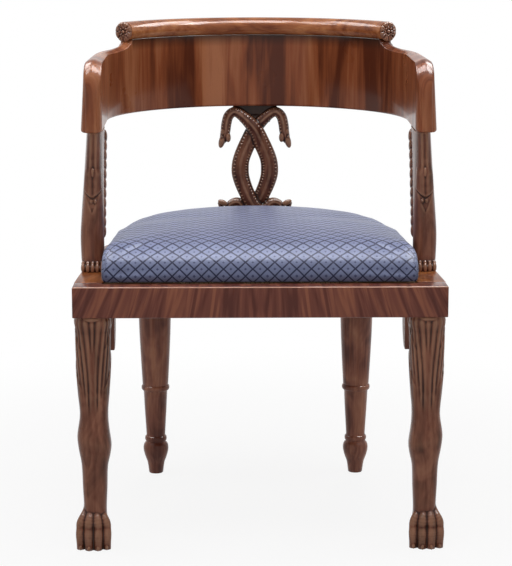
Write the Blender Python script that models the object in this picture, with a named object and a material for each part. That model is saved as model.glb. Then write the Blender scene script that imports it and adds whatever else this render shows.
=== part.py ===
# Desk armchair with a horseshoe back, carved animal legs, a serpent splat and a lift-out seat.
# Metres, +Z up. The front faces -Y and the origin is on the floor under the middle of the chair.

import math

import bmesh
import bpy
from mathutils import Matrix, Vector

# Fits
GAP = 0.0003                    # between glued faces and between pieces that rest on each other
PIN_CLEARANCE = 0.0003          # dowels, screws and tenons in their holes, all round
SEAT_CLEARANCE = 0.0015         # loose seat in its rebate, all round

# Seat rails
SEAT_HEIGHT = 0.437             # floor to the top of the rails
RAIL_HEIGHT = 0.0505
SIDE_RAIL_WIDTH = 0.046         # seen from above, at the top
FRONT_RAIL_LIP = 0.030          # top of the front rail, in front of the seat
REBATE_WIDTH = 0.012            # ledge that carries the loose seat
REBATE_DEPTH = 0.024
FRONT_FLARE = 0.015             # how much wider the rails stand in front than at the arc
BACK_RAIL_PROUD = 0.0292        # outer face of the rails beyond the inner face of the band
ARC_OFFSET = 0.2997             # front face of the front rail to the centre of the round back
RAIL_JOINT_ANGLE = math.radians(30)
EDGE_ROUND = 0.0012

# Horseshoe band: arms and back
CLEAR_WIDTH = 0.5116            # between the arms
ARM_LENGTH = 0.1777             # centre of the round back to the front of the arms
ARM_SHOULDER = 0.1086           # underside of the band to the edge of the arm's rounded top
ARM_CROWN = 0.010
ARM_WIDTH = 0.0352
ARM_TAPER = 0.0057              # how much the outer face leans in from bottom to top
ARM_NOSE_ROLL = 0.028           # radius of the arm's front as seen from the side
ARM_NOSE_EDGE = 0.008           # radius of the upright edges of the arm's front
BACK_WIDTH = 0.026
COVE_ANGLE = math.radians(12.5) # length of the sweep from the arm up to the crest

# Crest roll
OVERALL_HEIGHT = 0.8288
CREST_RISE = 0.0518             # edge of the arms' rounded top to the top of the roll
CREST_DIAMETER = 0.0348
CREST_SET = 0.0153              # centre line of the roll beyond the inner face of the band
CREST_FLAT = 0.024              # width of the flat that sits on the band
CREST_HALF_ANGLE = math.radians(60.2)
ROSETTE_DIAMETER = 0.0350
ROSETTE_DEPTH = 0.0065
ROSETTE_BOSS = 0.0055
PETALS = 8
PETAL_NOTCH = 0.0014

# Front legs, floor to rail
LEG_TOP_WIDTH = 0.056
LEG_TOP_DEPTH = 0.058
LEG_SETBACK = 0.002             # front of the leg behind the front face of the rail
LEG_INSET = 0.003               # outer edge of the leg inside the end of the front rail
LEG_TOP_TAPER = 0.004           # how much the carved top narrows half way down to the neck
NECK_HEIGHT = 0.223
NECK_WIDTH = 0.046
NECK_DEPTH = 0.047
NECK_SET = 0.005                # neck, knee, shank and ankle behind the front of the leg's top
KNEE_HEIGHT = 0.188
KNEE_WIDTH = 0.055
KNEE_DEPTH = 0.056
KNEE_LENGTH = 0.030             # stretch below the knee in which the leg gets thinner
SHANK_HEIGHT = 0.100
SHANK_WIDTH = 0.041
SHANK_DEPTH = 0.042
SHANK_SET = 0.010
ANKLE_HEIGHT = 0.060
ANKLE_WIDTH = 0.037
ANKLE_DEPTH = 0.040
ANKLE_SET = 0.011
PAW_WIDTH = 0.056
PAW_DEPTH = 0.062
PAW_PROUD = 0.003               # toes in front of the front rail
PAW_SPLAY = 0.0025              # middle of the paw outside the middle of the leg
TOE_HEIGHT = 0.008              # where the paw is widest
TOE_TOP = 0.024
INSTEP_HEIGHT = 0.042
INSTEP_INSET = 0.008            # instep narrower than the toes
SOLE_INSET = 0.004              # sole narrower than the toes
TOE_GROOVE = 0.0045
BRACKET_HEIGHT = 0.065
BRACKET_LENGTH = 0.055
BRACKET_WIDTH = 0.058
BRACKET_INSET = 0.006           # outer face of the bracket inside the end of the front rail

# Rear legs, turned
REAR_LEG_ANGLE = math.radians(46.5)
REAR_LEG_INSET = 0.0316         # leg axis inside the outer face of the back rail
REAR_LEG_TOP = 0.061
REAR_LEG_TOP_TAPER = 0.002
REAR_LEG_TOP_LENGTH = 0.095     # nearly straight stretch under the rail
REAR_LEG_RING = 0.051
REAR_LEG_RING_HEIGHT = 0.163
REAR_LEG_BEAD = 0.0035          # half height of the ring and of the collar, without their hollows
REAR_LEG_BEAD_STEP = 0.003      # how much thinner a bead is at its edges
REAR_LEG_SHOULDER = 0.047
REAR_LEG_WAIST = 0.0435
REAR_LEG_ANKLE = 0.034
REAR_LEG_COLLAR = 0.0394
REAR_LEG_COLLAR_HEIGHT = 0.066
REAR_LEG_BULB = 0.046
REAR_LEG_BULB_HEIGHT = 0.048
REAR_LEG_BULB_DROP = 0.018      # widest level of the bulb to its lower edge
REAR_LEG_BULB_RISE = 0.009
REAR_LEG_BULB_STEP = 0.006      # how much thinner the bulb is at its edges
REAR_LEG_FOOT = 0.026
REAR_LEG_FOOT_HEIGHT = 0.014
REAR_LEG_FOOT_FLARE = 0.003
REAR_LEG_TENON = 0.024
REAR_LEG_TENON_LENGTH = 0.030

# Arm supports
SUPPORT_SETBACK = 0.0055        # front of the support behind the front of the arm
SUPPORT_TOP_WIDTH = 0.026
SUPPORT_TOP_DEPTH = 0.135
SUPPORT_FOOT_DEPTH = 0.056
SUPPORT_FOOT_INSET = 0.0006     # foot inside the outer edge of the side rail
SUPPORT_TOE_GROOVE = 0.003
SUPPORT_ANKLE_HEIGHT = 0.019
SUPPORT_LEG_DEPTH = 0.044
SUPPORT_LEG_SET = 0.011         # leg behind the front of the foot
SUPPORT_LEG_INSET = 0.001       # leg narrower than the foot

# Serpent splat
SPLAT_WIDTH = 0.134             # over the tips of the tails
SPLAT_DEPTH = 0.022             # thickness of one body
SPLAT_WEAVE = 0.004             # how far a body moves forward or back where the two cross
SPLAT_SET = 0.0130              # middle of the splat beyond the inner face of the band
SPLAT_BASE_WIDTH = 0.076
SPLAT_BASE_HEIGHT = 0.030
SPLAT_HEAD_WIDTH = 0.100
SPLAT_HEAD_HEIGHT = 0.014
SPLAT_BLOCK_DEPTH = 0.018
TENON_WIDTH = 0.050
TENON_DEPTH = 0.009
TENON_LENGTH = 0.014

# Loose seat
BAR_WIDTH = 0.045
BAR_HEIGHT = 0.020
STRAP_WIDTH = 0.050
STRAP_THICKNESS = 0.0015
STRAP_PITCH = 0.105
STRAPS_EACH_WAY = 3
STRAP_LAP = 0.030               # length of strap that lies on a bar
STRAP_SPARE = 0.004             # level stretch of a strap on each side of one that it crosses
CLOTH_THICKNESS = 0.0010
CLOTH_INSET = 0.008
COVER_THICKNESS = 0.0020
CUSHION_WALL = 0.041            # top of the rails to the edge of the crown
CUSHION_BULGE = 0.0035          # sides beyond the seat opening
CUSHION_TUCK = 0.0005           # edge of the crown inside the seat opening
CUSHION_CROWN = 0.028
CUSHION_FLATNESS = 3.4          # power that keeps the middle of the crown flat
CUSHION_SHOULDER = 0.9          # power that rounds the edge of the crown

# Corner blocks and fastenings
BLOCK_LEG = 0.055
BLOCK_DROP = 0.003              # block below the rebate and above the underside of the rail
REAR_BLOCK_LENGTH = 0.042
REAR_BLOCK_WIDTH = 0.024
SCREW_DIAMETER = 0.0045
SCREW_HEAD = 0.0085
SCREW_HEAD_HEIGHT = 0.0035
SCREW_SEAT = 0.013              # wood between the screw head and the rail
SCREW_BITE = 0.022              # length of screw in the rail
DOWEL_DIAMETER = 0.010
LEG_DOWEL_DIAMETER = 0.014
CREST_DOWEL_DIAMETER = 0.008
DOWEL_HALF = 0.024              # length of dowel in each of the two pieces
CREST_DOWEL_HALF = 0.018
CREST_DOWEL_ANGLE = math.radians(38)
DOWEL_END_ROOM = 0.001

# Derived places
INNER_RADIUS = CLEAR_WIDTH / 2
RAIL_RADIUS = INNER_RADIUS + BACK_RAIL_PROUD
FRONT_HALF = RAIL_RADIUS + FRONT_FLARE
CREST_RADIUS = INNER_RADIUS + CREST_SET
SPLAT_RADIUS = INNER_RADIUS + SPLAT_SET
RAIL_BOTTOM = SEAT_HEIGHT - RAIL_HEIGHT
REBATE_FLOOR = SEAT_HEIGHT - REBATE_DEPTH
FRONT_RAIL_DEPTH = FRONT_RAIL_LIP + REBATE_WIDTH
SHOULDER_Z = OVERALL_HEIGHT - CREST_RISE
BAND_BOTTOM = SHOULDER_Z - ARM_SHOULDER
ARM_RISE = BAND_BOTTOM - SEAT_HEIGHT
CREST_Z = OVERALL_HEIGHT - CREST_DIAMETER / 2
CREST_FLAT_Z = CREST_Z - math.sqrt((CREST_DIAMETER / 2) ** 2 - (CREST_FLAT / 2) ** 2)
CREST_END_ANGLE = CREST_HALF_ANGLE - (ROSETTE_DEPTH + GAP) / CREST_RADIUS
FLAT_END_ANGLE = CREST_END_ANGLE - GAP / CREST_RADIUS
TOTAL_DEPTH = PAW_PROUD + ARC_OFFSET + CREST_RADIUS + CREST_DIAMETER / 2
FRONT_Y = PAW_PROUD - TOTAL_DEPTH / 2
ARC_Y = FRONT_Y + ARC_OFFSET
ARM_FRONT_Y = ARC_Y - ARM_LENGTH
LEG_X = FRONT_HALF - LEG_INSET - LEG_TOP_WIDTH / 2
LEG_FRONT_Y = FRONT_Y + LEG_SETBACK
SUPPORT_FRONT_Y = ARM_FRONT_Y + SUPPORT_SETBACK
SPLAT_Y = ARC_Y + SPLAT_RADIUS

SIDES = (("left", -1), ("right", 1))
ARC_STEP = math.radians(5)
CIRCLE_SIDES = 10
LEG_SIDES = 16
SERPENT_SIDES = 8
BEND_ROOM = 0.8                 # share of a bend's radius that the inside of a bent body may fill
BEND_ROWS = 2                   # rows before and after a bend that keep to its radius

MAHOGANY = (0.180, 0.058, 0.028)
DARK_MAHOGANY = (0.105, 0.042, 0.026)
BEECH = (0.560, 0.400, 0.240)
STEEL = (0.340, 0.330, 0.320)
JUTE = (0.430, 0.330, 0.200)
HAIR = (0.070, 0.055, 0.045)
BLUE_SILK = (0.150, 0.180, 0.360)


# Shared tools

def clear_scene():
    for item in list(bpy.data.objects):
        bpy.data.objects.remove(item, do_unlink=True)


def finish(name, colour, roughness, metallic=0.0):
    """A material of the object's own, named after it."""
    material = bpy.data.materials.new(name)
    material.use_nodes = True
    shader = material.node_tree.nodes["Principled BSDF"]
    shader.inputs["Base Color"].default_value = (*colour, 1.0)
    shader.inputs["Roughness"].default_value = roughness
    shader.inputs["Metallic"].default_value = metallic
    return material


def add_object(name, mesh_data, colour, roughness, metallic=0.0):
    """Turn a bmesh into a named object with its own material."""
    bmesh.ops.recalc_face_normals(mesh_data, faces=mesh_data.faces)
    mesh = bpy.data.meshes.new(name)
    mesh_data.to_mesh(mesh)
    mesh_data.free()
    mesh.materials.append(finish(name, colour, roughness, metallic))
    item = bpy.data.objects.new(name, mesh)
    bpy.context.scene.collection.objects.link(item)
    return item


def smooth(item, angle=math.radians(35)):
    item.data.shade_smooth()
    item.data.set_sharp_from_angle(angle=angle)
    return item


def skin(rings):
    """Closed body through rings that have the same number of points."""
    mesh_data = bmesh.new()
    loops = []
    for ring in rings:
        loops.append([mesh_data.verts.new(point) for point in ring])
    count = len(loops[0])
    for lower, upper in zip(loops, loops[1:]):
        for index in range(count):
            after = (index + 1) % count
            mesh_data.faces.new((lower[index], lower[after], upper[after], upper[index]))
    mesh_data.faces.new(list(reversed(loops[0])))
    mesh_data.faces.new(loops[-1])
    return mesh_data


def prism(plan, bottom, top):
    """Closed body that stands on a plan outline."""
    mesh_data = bmesh.new()
    floor = mesh_data.faces.new([mesh_data.verts.new((x, y, bottom)) for x, y in plan])
    grown = bmesh.ops.extrude_face_region(mesh_data, geom=[floor])
    raised = [part for part in grown["geom"] if isinstance(part, bmesh.types.BMVert)]
    bmesh.ops.translate(mesh_data, verts=raised, vec=(0, 0, top - bottom))
    return mesh_data


def box(low, high):
    plan = [(low[0], low[1]), (high[0], low[1]), (high[0], high[1]), (low[0], high[1])]
    return prism(plan, low[2], high[2])


def turned(profile, segments, start, direction):
    """Turn a profile of (radius, distance) that starts and ends on its axis."""
    mesh_data = bmesh.new()
    verts = [mesh_data.verts.new((radius, 0, along)) for radius, along in profile]
    edges = [mesh_data.edges.new(pair) for pair in zip(verts, verts[1:])]
    bmesh.ops.spin(mesh_data, geom=verts + edges, cent=(0, 0, 0), axis=(0, 0, 1),
                   angle=2 * math.pi, steps=segments, use_merge=True)
    bmesh.ops.remove_doubles(mesh_data, verts=mesh_data.verts, dist=0.000001)
    turn = Vector(direction).to_track_quat("Z", "X").to_matrix().to_4x4()
    bmesh.ops.transform(mesh_data, matrix=Matrix.Translation(start) @ turn, verts=mesh_data.verts)
    return mesh_data


def hidden(name, mesh_data):
    """A shape that only cuts or joins."""
    item = add_object(name, mesh_data, STEEL, 0.5)
    item.hide_render = True
    item.display_type = "WIRE"
    return item


def combine(host, other, operation):
    step = host.modifiers.new(other.name, "BOOLEAN")
    step.operation = operation
    step.solver = "EXACT"
    step.object = other


def ease_edges(item, width=EDGE_ROUND):
    step = item.modifiers.new("eased_edges", "BEVEL")
    step.width = width
    step.segments = 1
    step.limit_method = "ANGLE"
    step.angle_limit = math.radians(50)


def rod_profile(radius, length):
    return [(0, 0), (radius, 0), (radius, length), (0, length)]


def dowel(name, middle, direction, half, diameter, hosts):
    """A dowel across a joint, with its hole cut into both pieces."""
    along = Vector(direction).normalized()
    start = Vector(middle) - along * (half - DOWEL_END_ROOM)
    length = 2 * (half - DOWEL_END_ROOM)
    pin = turned(rod_profile(diameter / 2, length), CIRCLE_SIDES, start, along)
    smooth(add_object(name, pin, BEECH, 0.6))
    hole_profile = rod_profile(diameter / 2 + PIN_CLEARANCE, 2 * half)
    hole = hidden(name + "_hole", turned(hole_profile, CIRCLE_SIDES, Vector(middle) - along * half, along))
    for host in hosts:
        combine(host, hole, "DIFFERENCE")


def rows_through(keys, steps):
    """Smooth rows through key rows, with the first column as the running value."""
    slopes = []
    for index in range(len(keys)):
        before = keys[max(index - 1, 0)]
        after = keys[min(index + 1, len(keys) - 1)]
        run = after[0] - before[0]
        slopes.append([(b - a) / run for a, b in zip(before, after)])
    rows = []
    for index in range(len(keys) - 1):
        run = keys[index + 1][0] - keys[index][0]
        for step in range(steps):
            t = step / steps
            rows.append([
                (2 * t ** 3 - 3 * t ** 2 + 1) * a + (t ** 3 - 2 * t ** 2 + t) * run * sa
                + (3 * t ** 2 - 2 * t ** 3) * b + (t ** 3 - t ** 2) * run * sb
                for a, sa, b, sb in zip(keys[index], slopes[index], keys[index + 1], slopes[index + 1])
            ])
    rows.append(list(keys[-1]))
    return rows


def path_through(keys, steps):
    """Smooth rows through the points of a path."""
    rows = []
    for index in range(len(keys) - 1):
        p0 = keys[max(index - 1, 0)]
        p1 = keys[index]
        p2 = keys[index + 1]
        p3 = keys[min(index + 2, len(keys) - 1)]
        for step in range(steps):
            t = step / steps
            rows.append([
                0.5 * (2 * b + (c - a) * t + (2 * a - 5 * b + 4 * c - d) * t ** 2
                       + (3 * b - a - 3 * c + d) * t ** 3)
                for a, b, c, d in zip(p0, p1, p2, p3)
            ])
    rows.append(list(keys[-1]))
    return rows


# Plan of the chair

def ease(share):
    share = min(max(share, 0.0), 1.0)
    return share * share * (3 - 2 * share)


def rail_outer(offset):
    """Half width of the rails at a distance behind the front face."""
    return FRONT_HALF - FRONT_FLARE * ease(offset / ARC_OFFSET)


def opening(offset):
    return rail_outer(offset) - SIDE_RAIL_WIDTH


def on_arc(radius, angle):
    """Plan point at an angle from the back, positive to the right."""
    return radius * math.sin(angle), ARC_Y + radius * math.cos(angle)


def arc_angles(start, end):
    count = max(1, round(abs(end - start) / ARC_STEP))
    return [start + (end - start) * index / count for index in range(count + 1)]


def seat_plan(margin, front_steps, side_steps, back_angle):
    """Outline of the seat opening, moved out by a margin, counter-clockwise from front left."""
    front = FRONT_RAIL_LIP - margin
    half = opening(front) + margin
    plan = [(-half + 2 * half * i / front_steps, FRONT_Y + front) for i in range(front_steps)]
    for index in range(side_steps):
        offset = front + (ARC_OFFSET - front) * index / side_steps
        plan.append((opening(offset) + margin, FRONT_Y + offset))
    radius = RAIL_RADIUS - SIDE_RAIL_WIDTH + margin
    count = round(math.pi / back_angle)
    for index in range(count + 1):
        plan.append(on_arc(radius, math.pi / 2 - math.pi * index / count))
    for index in reversed(range(1, side_steps)):
        offset = front + (ARC_OFFSET - front) * index / side_steps
        plan.append((-opening(offset) - margin, FRONT_Y + offset))
    return plan


# Seat rails

def rail_ring(place):
    """Rail section with the seat rebate, placed by a function of distance in from the outer face."""
    width = SIDE_RAIL_WIDTH
    section = (
        (0, RAIL_BOTTOM), (0, SEAT_HEIGHT), (width, SEAT_HEIGHT),
        (width, REBATE_FLOOR), (width + REBATE_WIDTH, REBATE_FLOOR), (width + REBATE_WIDTH, RAIL_BOTTOM),
    )
    return [(*place(inward), height) for inward, height in section]


def make_front_rail():
    back = FRONT_RAIL_DEPTH
    plan = [
        (-FRONT_HALF, FRONT_Y), (FRONT_HALF, FRONT_Y),
        (rail_outer(back), FRONT_Y + back), (-rail_outer(back), FRONT_Y + back),
    ]
    rail = add_object("front_rail", prism(plan, RAIL_BOTTOM, SEAT_HEIGHT), MAHOGANY, 0.28)
    ease_edges(rail)
    lip = FRONT_RAIL_LIP
    past = back + REBATE_WIDTH
    pocket = [
        (-opening(lip), FRONT_Y + lip), (opening(lip), FRONT_Y + lip),
        (opening(back), FRONT_Y + past), (-opening(back), FRONT_Y + past),
    ]
    cutter = hidden("front_rail_rebate", prism(pocket, REBATE_FLOOR, SEAT_HEIGHT + REBATE_DEPTH))
    combine(rail, cutter, "DIFFERENCE")
    return rail


def make_side_rail(label, side):
    start = FRONT_RAIL_DEPTH + GAP
    end = ARC_OFFSET - GAP
    rings = []
    stations = 8
    for index in range(stations + 1):
        offset = start + (end - start) * index / stations
        rings.append(rail_ring(lambda inward: (side * (rail_outer(offset) - inward), FRONT_Y + offset)))
    return add_object("side_rail_" + label, skin(rings), MAHOGANY, 0.30)


def make_back_rail(label, start, end):
    rings = []
    for angle in arc_angles(start, end):
        rings.append(rail_ring(lambda inward: on_arc(RAIL_RADIUS - inward, angle)))
    return smooth(add_object("back_rail_" + label, skin(rings), MAHOGANY, 0.30))


# Horseshoe band

def band_width(run):
    """Thickness of the band at a distance along its inner face from the front of the arm."""
    whole = ARM_LENGTH + INNER_RADIUS * (math.pi / 2 - CREST_HALF_ANGLE)
    return ARM_WIDTH + (BACK_WIDTH - ARM_WIDTH) * ease(run / whole)


def band_section(width, shoulder, crown):
    """Band section as (distance out from the inner face, height), flat or rounded on top."""
    crown_steps = 6
    top = width - ARM_TAPER * min(1.0, crown / ARM_CROWN)
    points = [(0.0, BAND_BOTTOM), (0.0, shoulder)]
    for step in range(1, crown_steps):
        turn = math.pi * step / crown_steps
        points.append((top * (1 - math.cos(turn)) / 2, shoulder + crown * math.sin(turn)))
    points.append((top, shoulder))
    points.append((width, BAND_BOTTOM))
    return points


def rounding(radius, run):
    """How far a rounded edge lies inside the square corner at a distance from the end face."""
    if run >= radius:
        return 0.0
    return radius - math.sqrt(radius ** 2 - (radius - run) ** 2)


def make_arm(label, side):
    nose_steps = 7
    plain_steps = 4
    stations = []
    for step in range(nose_steps):
        stations.append(ARM_NOSE_ROLL * (1 - math.cos(math.pi / 2 * step / nose_steps)))
    for step in range(plain_steps + 1):
        stations.append(ARM_NOSE_ROLL + (ARM_LENGTH - GAP - ARM_NOSE_ROLL) * step / plain_steps)
    rings = []
    for run in stations:
        width = band_width(run)
        drop = rounding(ARM_NOSE_ROLL, run)
        share = 1 - rounding(ARM_NOSE_EDGE, run) / (width / 2)
        ring = []
        for out, height in band_section(width, SHOULDER_Z - drop, ARM_CROWN):
            across = width / 2 + (out - width / 2) * share
            ring.append((side * (INNER_RADIUS + across), ARM_FRONT_Y + run, height))
        rings.append(ring)
    return smooth(add_object("arm_" + label, skin(rings), MAHOGANY, 0.25))


def band_heights(angle):
    """Height of the shoulder and of the crown at an angle from the back."""
    away = abs(angle)
    if away <= FLAT_END_ANGLE:
        return CREST_FLAT_Z - GAP, 0.0
    cove_top = CREST_Z - ROSETTE_DIAMETER / 2 - 2 * GAP - ARM_CROWN / 2
    share = min(max((CREST_HALF_ANGLE + COVE_ANGLE - away) / COVE_ANGLE, 0.0), 1.0)
    lift = 1 - math.sqrt(1 - share ** 2)
    return SHOULDER_Z + (cove_top - SHOULDER_Z) * lift, ARM_CROWN * (1 - 0.5 * lift)


def make_back_panel():
    cove_end = CREST_HALF_ANGLE + COVE_ANGLE
    half = [math.pi / 2]
    half += arc_angles(math.pi / 2, cove_end)[1:]
    for share in (0.35, 0.65, 0.85, 0.96, 1.0):
        half.append(cove_end - COVE_ANGLE * share)
    half.append(CREST_END_ANGLE)
    half += arc_angles(FLAT_END_ANGLE, 0.0)
    angles = half + [-angle for angle in reversed(half[:-1])]
    rings = []
    for angle in angles:
        shoulder, crown = band_heights(angle)
        width = band_width(ARM_LENGTH + INNER_RADIUS * (math.pi / 2 - abs(angle)))
        section = band_section(width, shoulder, crown)
        rings.append([(*on_arc(INNER_RADIUS + out, angle), height) for out, height in section])
    return smooth(add_object("back_panel", skin(rings), MAHOGANY, 0.25))


# Crest roll and rosettes

def make_crest():
    points = 14
    open_half = math.asin(CREST_FLAT / CREST_DIAMETER)
    section = []
    for index in range(points):
        turn = -math.pi / 2 + open_half + (2 * math.pi - 2 * open_half) * index / (points - 1)
        section.append((CREST_DIAMETER / 2 * math.cos(turn), CREST_Z + CREST_DIAMETER / 2 * math.sin(turn)))
    rings = []
    for angle in arc_angles(-CREST_END_ANGLE, CREST_END_ANGLE):
        rings.append([(*on_arc(CREST_RADIUS + out, angle), height) for out, height in section])
    return smooth(add_object("crest_rail", skin(rings), MAHOGANY, 0.20))


def make_rosette(label, side):
    """Carved disc with petals and a boss that caps one end of the roll."""
    per_petal = 4
    count = PETALS * per_petal
    radius = ROSETTE_DIAMETER / 2
    levels = (
        (0.96, 0.0), (1.0, 0.35), (0.94, 0.70), (0.62, 0.95), (0.36, 0.62),
    )
    end = side * (CREST_HALF_ANGLE - ROSETTE_DEPTH / CREST_RADIUS)
    middle = Vector((*on_arc(CREST_RADIUS, end), CREST_Z))
    outward = Vector((math.cos(end), -math.sin(end), 0)) * side
    across = Vector((outward.y, -outward.x, 0))
    rings = []
    for reach, height in levels:
        ring = []
        for index in range(count):
            turn = 2 * math.pi * index / count
            notch = PETAL_NOTCH if index % per_petal == 0 and reach > 0.9 else 0.0
            flat = across * math.cos(turn) + Vector((0, 0, math.sin(turn)))
            ring.append(middle + flat * (radius * reach - notch) + outward * ROSETTE_DEPTH * height)
        rings.append(ring)
    boss = []
    for index in range(count):
        turn = 2 * math.pi * index / count
        flat = across * math.cos(turn) + Vector((0, 0, math.sin(turn)))
        boss.append(middle + flat * ROSETTE_BOSS / 2 + outward * ROSETTE_DEPTH)
    rings.append(boss)
    return smooth(add_object("rosette_" + label, skin(rings), DARK_MAHOGANY, 0.40))


# Carved legs

def carved_ring(x_low, x_high, y_front, y_back, squareness, groove, height):
    """Rounded section with four toes cut into its front half by a groove depth."""
    ring = []
    middle_x = (x_low + x_high) / 2
    middle_y = (y_front + y_back) / 2
    toe_step = LEG_SIDES // 8
    for index in range(LEG_SIDES):
        turn = 2 * math.pi * index / LEG_SIDES
        cos = math.copysign(abs(math.cos(turn)) ** (2 / squareness), math.cos(turn))
        sin = math.copysign(abs(math.sin(turn)) ** (2 / squareness), math.sin(turn))
        in_front = index >= LEG_SIDES // 2
        cut = groove if in_front and index % toe_step == 0 else 0.0
        shrink = 1 - cut / ((x_high - x_low) / 2)
        ring.append((
            middle_x + cos * (x_high - x_low) / 2 * shrink,
            middle_y + sin * (y_back - y_front) / 2 * shrink,
            height,
        ))
    return ring


def make_front_leg(label, side):
    """Leg that ends in a paw, as (height, width, front, depth, squareness, toe groove)."""
    top = RAIL_BOTTOM - GAP
    front = LEG_SETBACK
    sole = SOLE_INSET
    instep_groove = TOE_GROOVE * 0.6
    carved = top - NECK_HEIGHT
    taper = LEG_TOP_TAPER
    taper_z = NECK_HEIGHT + carved * 0.45
    calf_width = (SHANK_WIDTH + KNEE_WIDTH) / 2
    calf_depth = (SHANK_DEPTH + KNEE_DEPTH) / 2
    keys = (
        (0.0, PAW_WIDTH - sole, 0.0, PAW_DEPTH - 1.5 * sole, 2.6, TOE_GROOVE),
        (TOE_HEIGHT, PAW_WIDTH, -PAW_PROUD, PAW_DEPTH, 2.6, TOE_GROOVE),
        (TOE_TOP, PAW_WIDTH - sole / 2, sole / 4 - PAW_PROUD, PAW_DEPTH - sole / 4, 2.6, TOE_GROOVE),
        (INSTEP_HEIGHT, PAW_WIDTH - INSTEP_INSET, front + sole, PAW_DEPTH - INSTEP_INSET, 2.5, instep_groove),
        (ANKLE_HEIGHT, ANKLE_WIDTH, front + ANKLE_SET, ANKLE_DEPTH, 2.4, 0.0),
        (SHANK_HEIGHT, SHANK_WIDTH, front + SHANK_SET, SHANK_DEPTH, 2.4, 0.0),
        (KNEE_HEIGHT - KNEE_LENGTH, calf_width, front + SHANK_SET / 2, calf_depth, 2.4, 0.0),
        (KNEE_HEIGHT, KNEE_WIDTH, front, KNEE_DEPTH, 2.4, 0.0),
        (NECK_HEIGHT, NECK_WIDTH, front + NECK_SET, NECK_DEPTH, 2.5, 0.0),
        (taper_z, LEG_TOP_WIDTH - taper, front + taper / 2, LEG_TOP_DEPTH - taper, 2.7, 0.0),
        (NECK_HEIGHT + carved * 0.70, LEG_TOP_WIDTH, front, LEG_TOP_DEPTH, 3.0, 0.0),
        (top, LEG_TOP_WIDTH, front, LEG_TOP_DEPTH, 3.2, 0.0),
    )
    rings = []
    for height, width, start, depth, squareness, groove in rows_through(keys, 2):
        middle = LEG_X + PAW_SPLAY * (1 - ease(height / ANKLE_HEIGHT))
        ring = carved_ring(middle - width / 2, middle + width / 2, FRONT_Y + start,
                           FRONT_Y + start + depth, squareness, groove, height)
        rings.append([(side * x, y, z) for x, y, z in ring])
    return smooth(add_object("front_leg_" + label, skin(rings), DARK_MAHOGANY, 0.38))


def make_bracket(label, side):
    """Rounded haunch behind a front leg, under the side rail."""
    front = LEG_FRONT_Y + LEG_TOP_DEPTH + GAP
    top = RAIL_BOTTOM - GAP
    round_steps = 8
    outline = [(front, top - BRACKET_HEIGHT)]
    foot = 0.2 * BRACKET_LENGTH
    for step in range(round_steps + 1):
        turn = math.pi / 2 * step / round_steps
        along = foot + (BRACKET_LENGTH - foot) * math.sin(turn)
        outline.append((front + along, top - BRACKET_HEIGHT * math.cos(turn)))
    outline.append((front, top))
    high = FRONT_HALF - BRACKET_INSET
    low = high - BRACKET_WIDTH
    rings = [[(side * x, y, z) for y, z in outline] for x in (low, high)]
    item = add_object("haunch_bracket_" + label, skin(rings), DARK_MAHOGANY, 0.38)
    ease_edges(item)
    return item


def make_rear_leg(label, side, rail):
    """Turned leg with a round tenon in the back rail."""
    top = RAIL_BOTTOM - GAP
    ring = REAR_LEG_RING_HEIGHT
    collar = REAR_LEG_COLLAR_HEIGHT
    bead = REAR_LEG_BEAD
    edge = REAR_LEG_BEAD_STEP
    bulb = REAR_LEG_BULB_HEIGHT
    bulb_edge = REAR_LEG_BULB - REAR_LEG_BULB_STEP
    outline = (
        (REAR_LEG_FOOT, 0.0), (REAR_LEG_FOOT + REAR_LEG_FOOT_FLARE, REAR_LEG_FOOT_HEIGHT),
        (bulb_edge, bulb - REAR_LEG_BULB_DROP), (REAR_LEG_BULB, bulb), (bulb_edge, bulb + REAR_LEG_BULB_RISE),
        (REAR_LEG_ANKLE, collar - 2 * bead), (REAR_LEG_COLLAR - edge, collar - bead),
        (REAR_LEG_COLLAR, collar), (REAR_LEG_COLLAR - edge, collar + bead),
        (REAR_LEG_ANKLE, collar + 2 * bead),
        (REAR_LEG_WAIST, ring - 2 * bead), (REAR_LEG_RING - edge, ring - bead), (REAR_LEG_RING, ring),
        (REAR_LEG_RING - edge, ring + bead), (REAR_LEG_SHOULDER, ring + 2 * bead),
        (REAR_LEG_TOP - REAR_LEG_TOP_TAPER, top - REAR_LEG_TOP_LENGTH), (REAR_LEG_TOP, top),
    )
    tenon_top = RAIL_BOTTOM + REAR_LEG_TENON_LENGTH
    profile = [(0, 0)]
    profile += [(diameter / 2, height) for diameter, height in outline]
    profile += [(REAR_LEG_TENON / 2, top), (REAR_LEG_TENON / 2, tenon_top), (0, tenon_top)]
    x, y = on_arc(RAIL_RADIUS - REAR_LEG_INSET, side * REAR_LEG_ANGLE)
    leg = turned(profile, 14, (x, y, 0), (0, 0, 1))
    smooth(add_object("rear_leg_" + label, leg, MAHOGANY, 0.30))
    hole_length = REAR_LEG_TENON_LENGTH + DOWEL_END_ROOM
    hole_profile = rod_profile(REAR_LEG_TENON / 2 + PIN_CLEARANCE, hole_length + DOWEL_END_ROOM)
    hole = turned(hole_profile, 14, (x, y, RAIL_BOTTOM - DOWEL_END_ROOM), (0, 0, 1))
    combine(rail, hidden("rear_leg_hole_" + label, hole), "DIFFERENCE")


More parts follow.
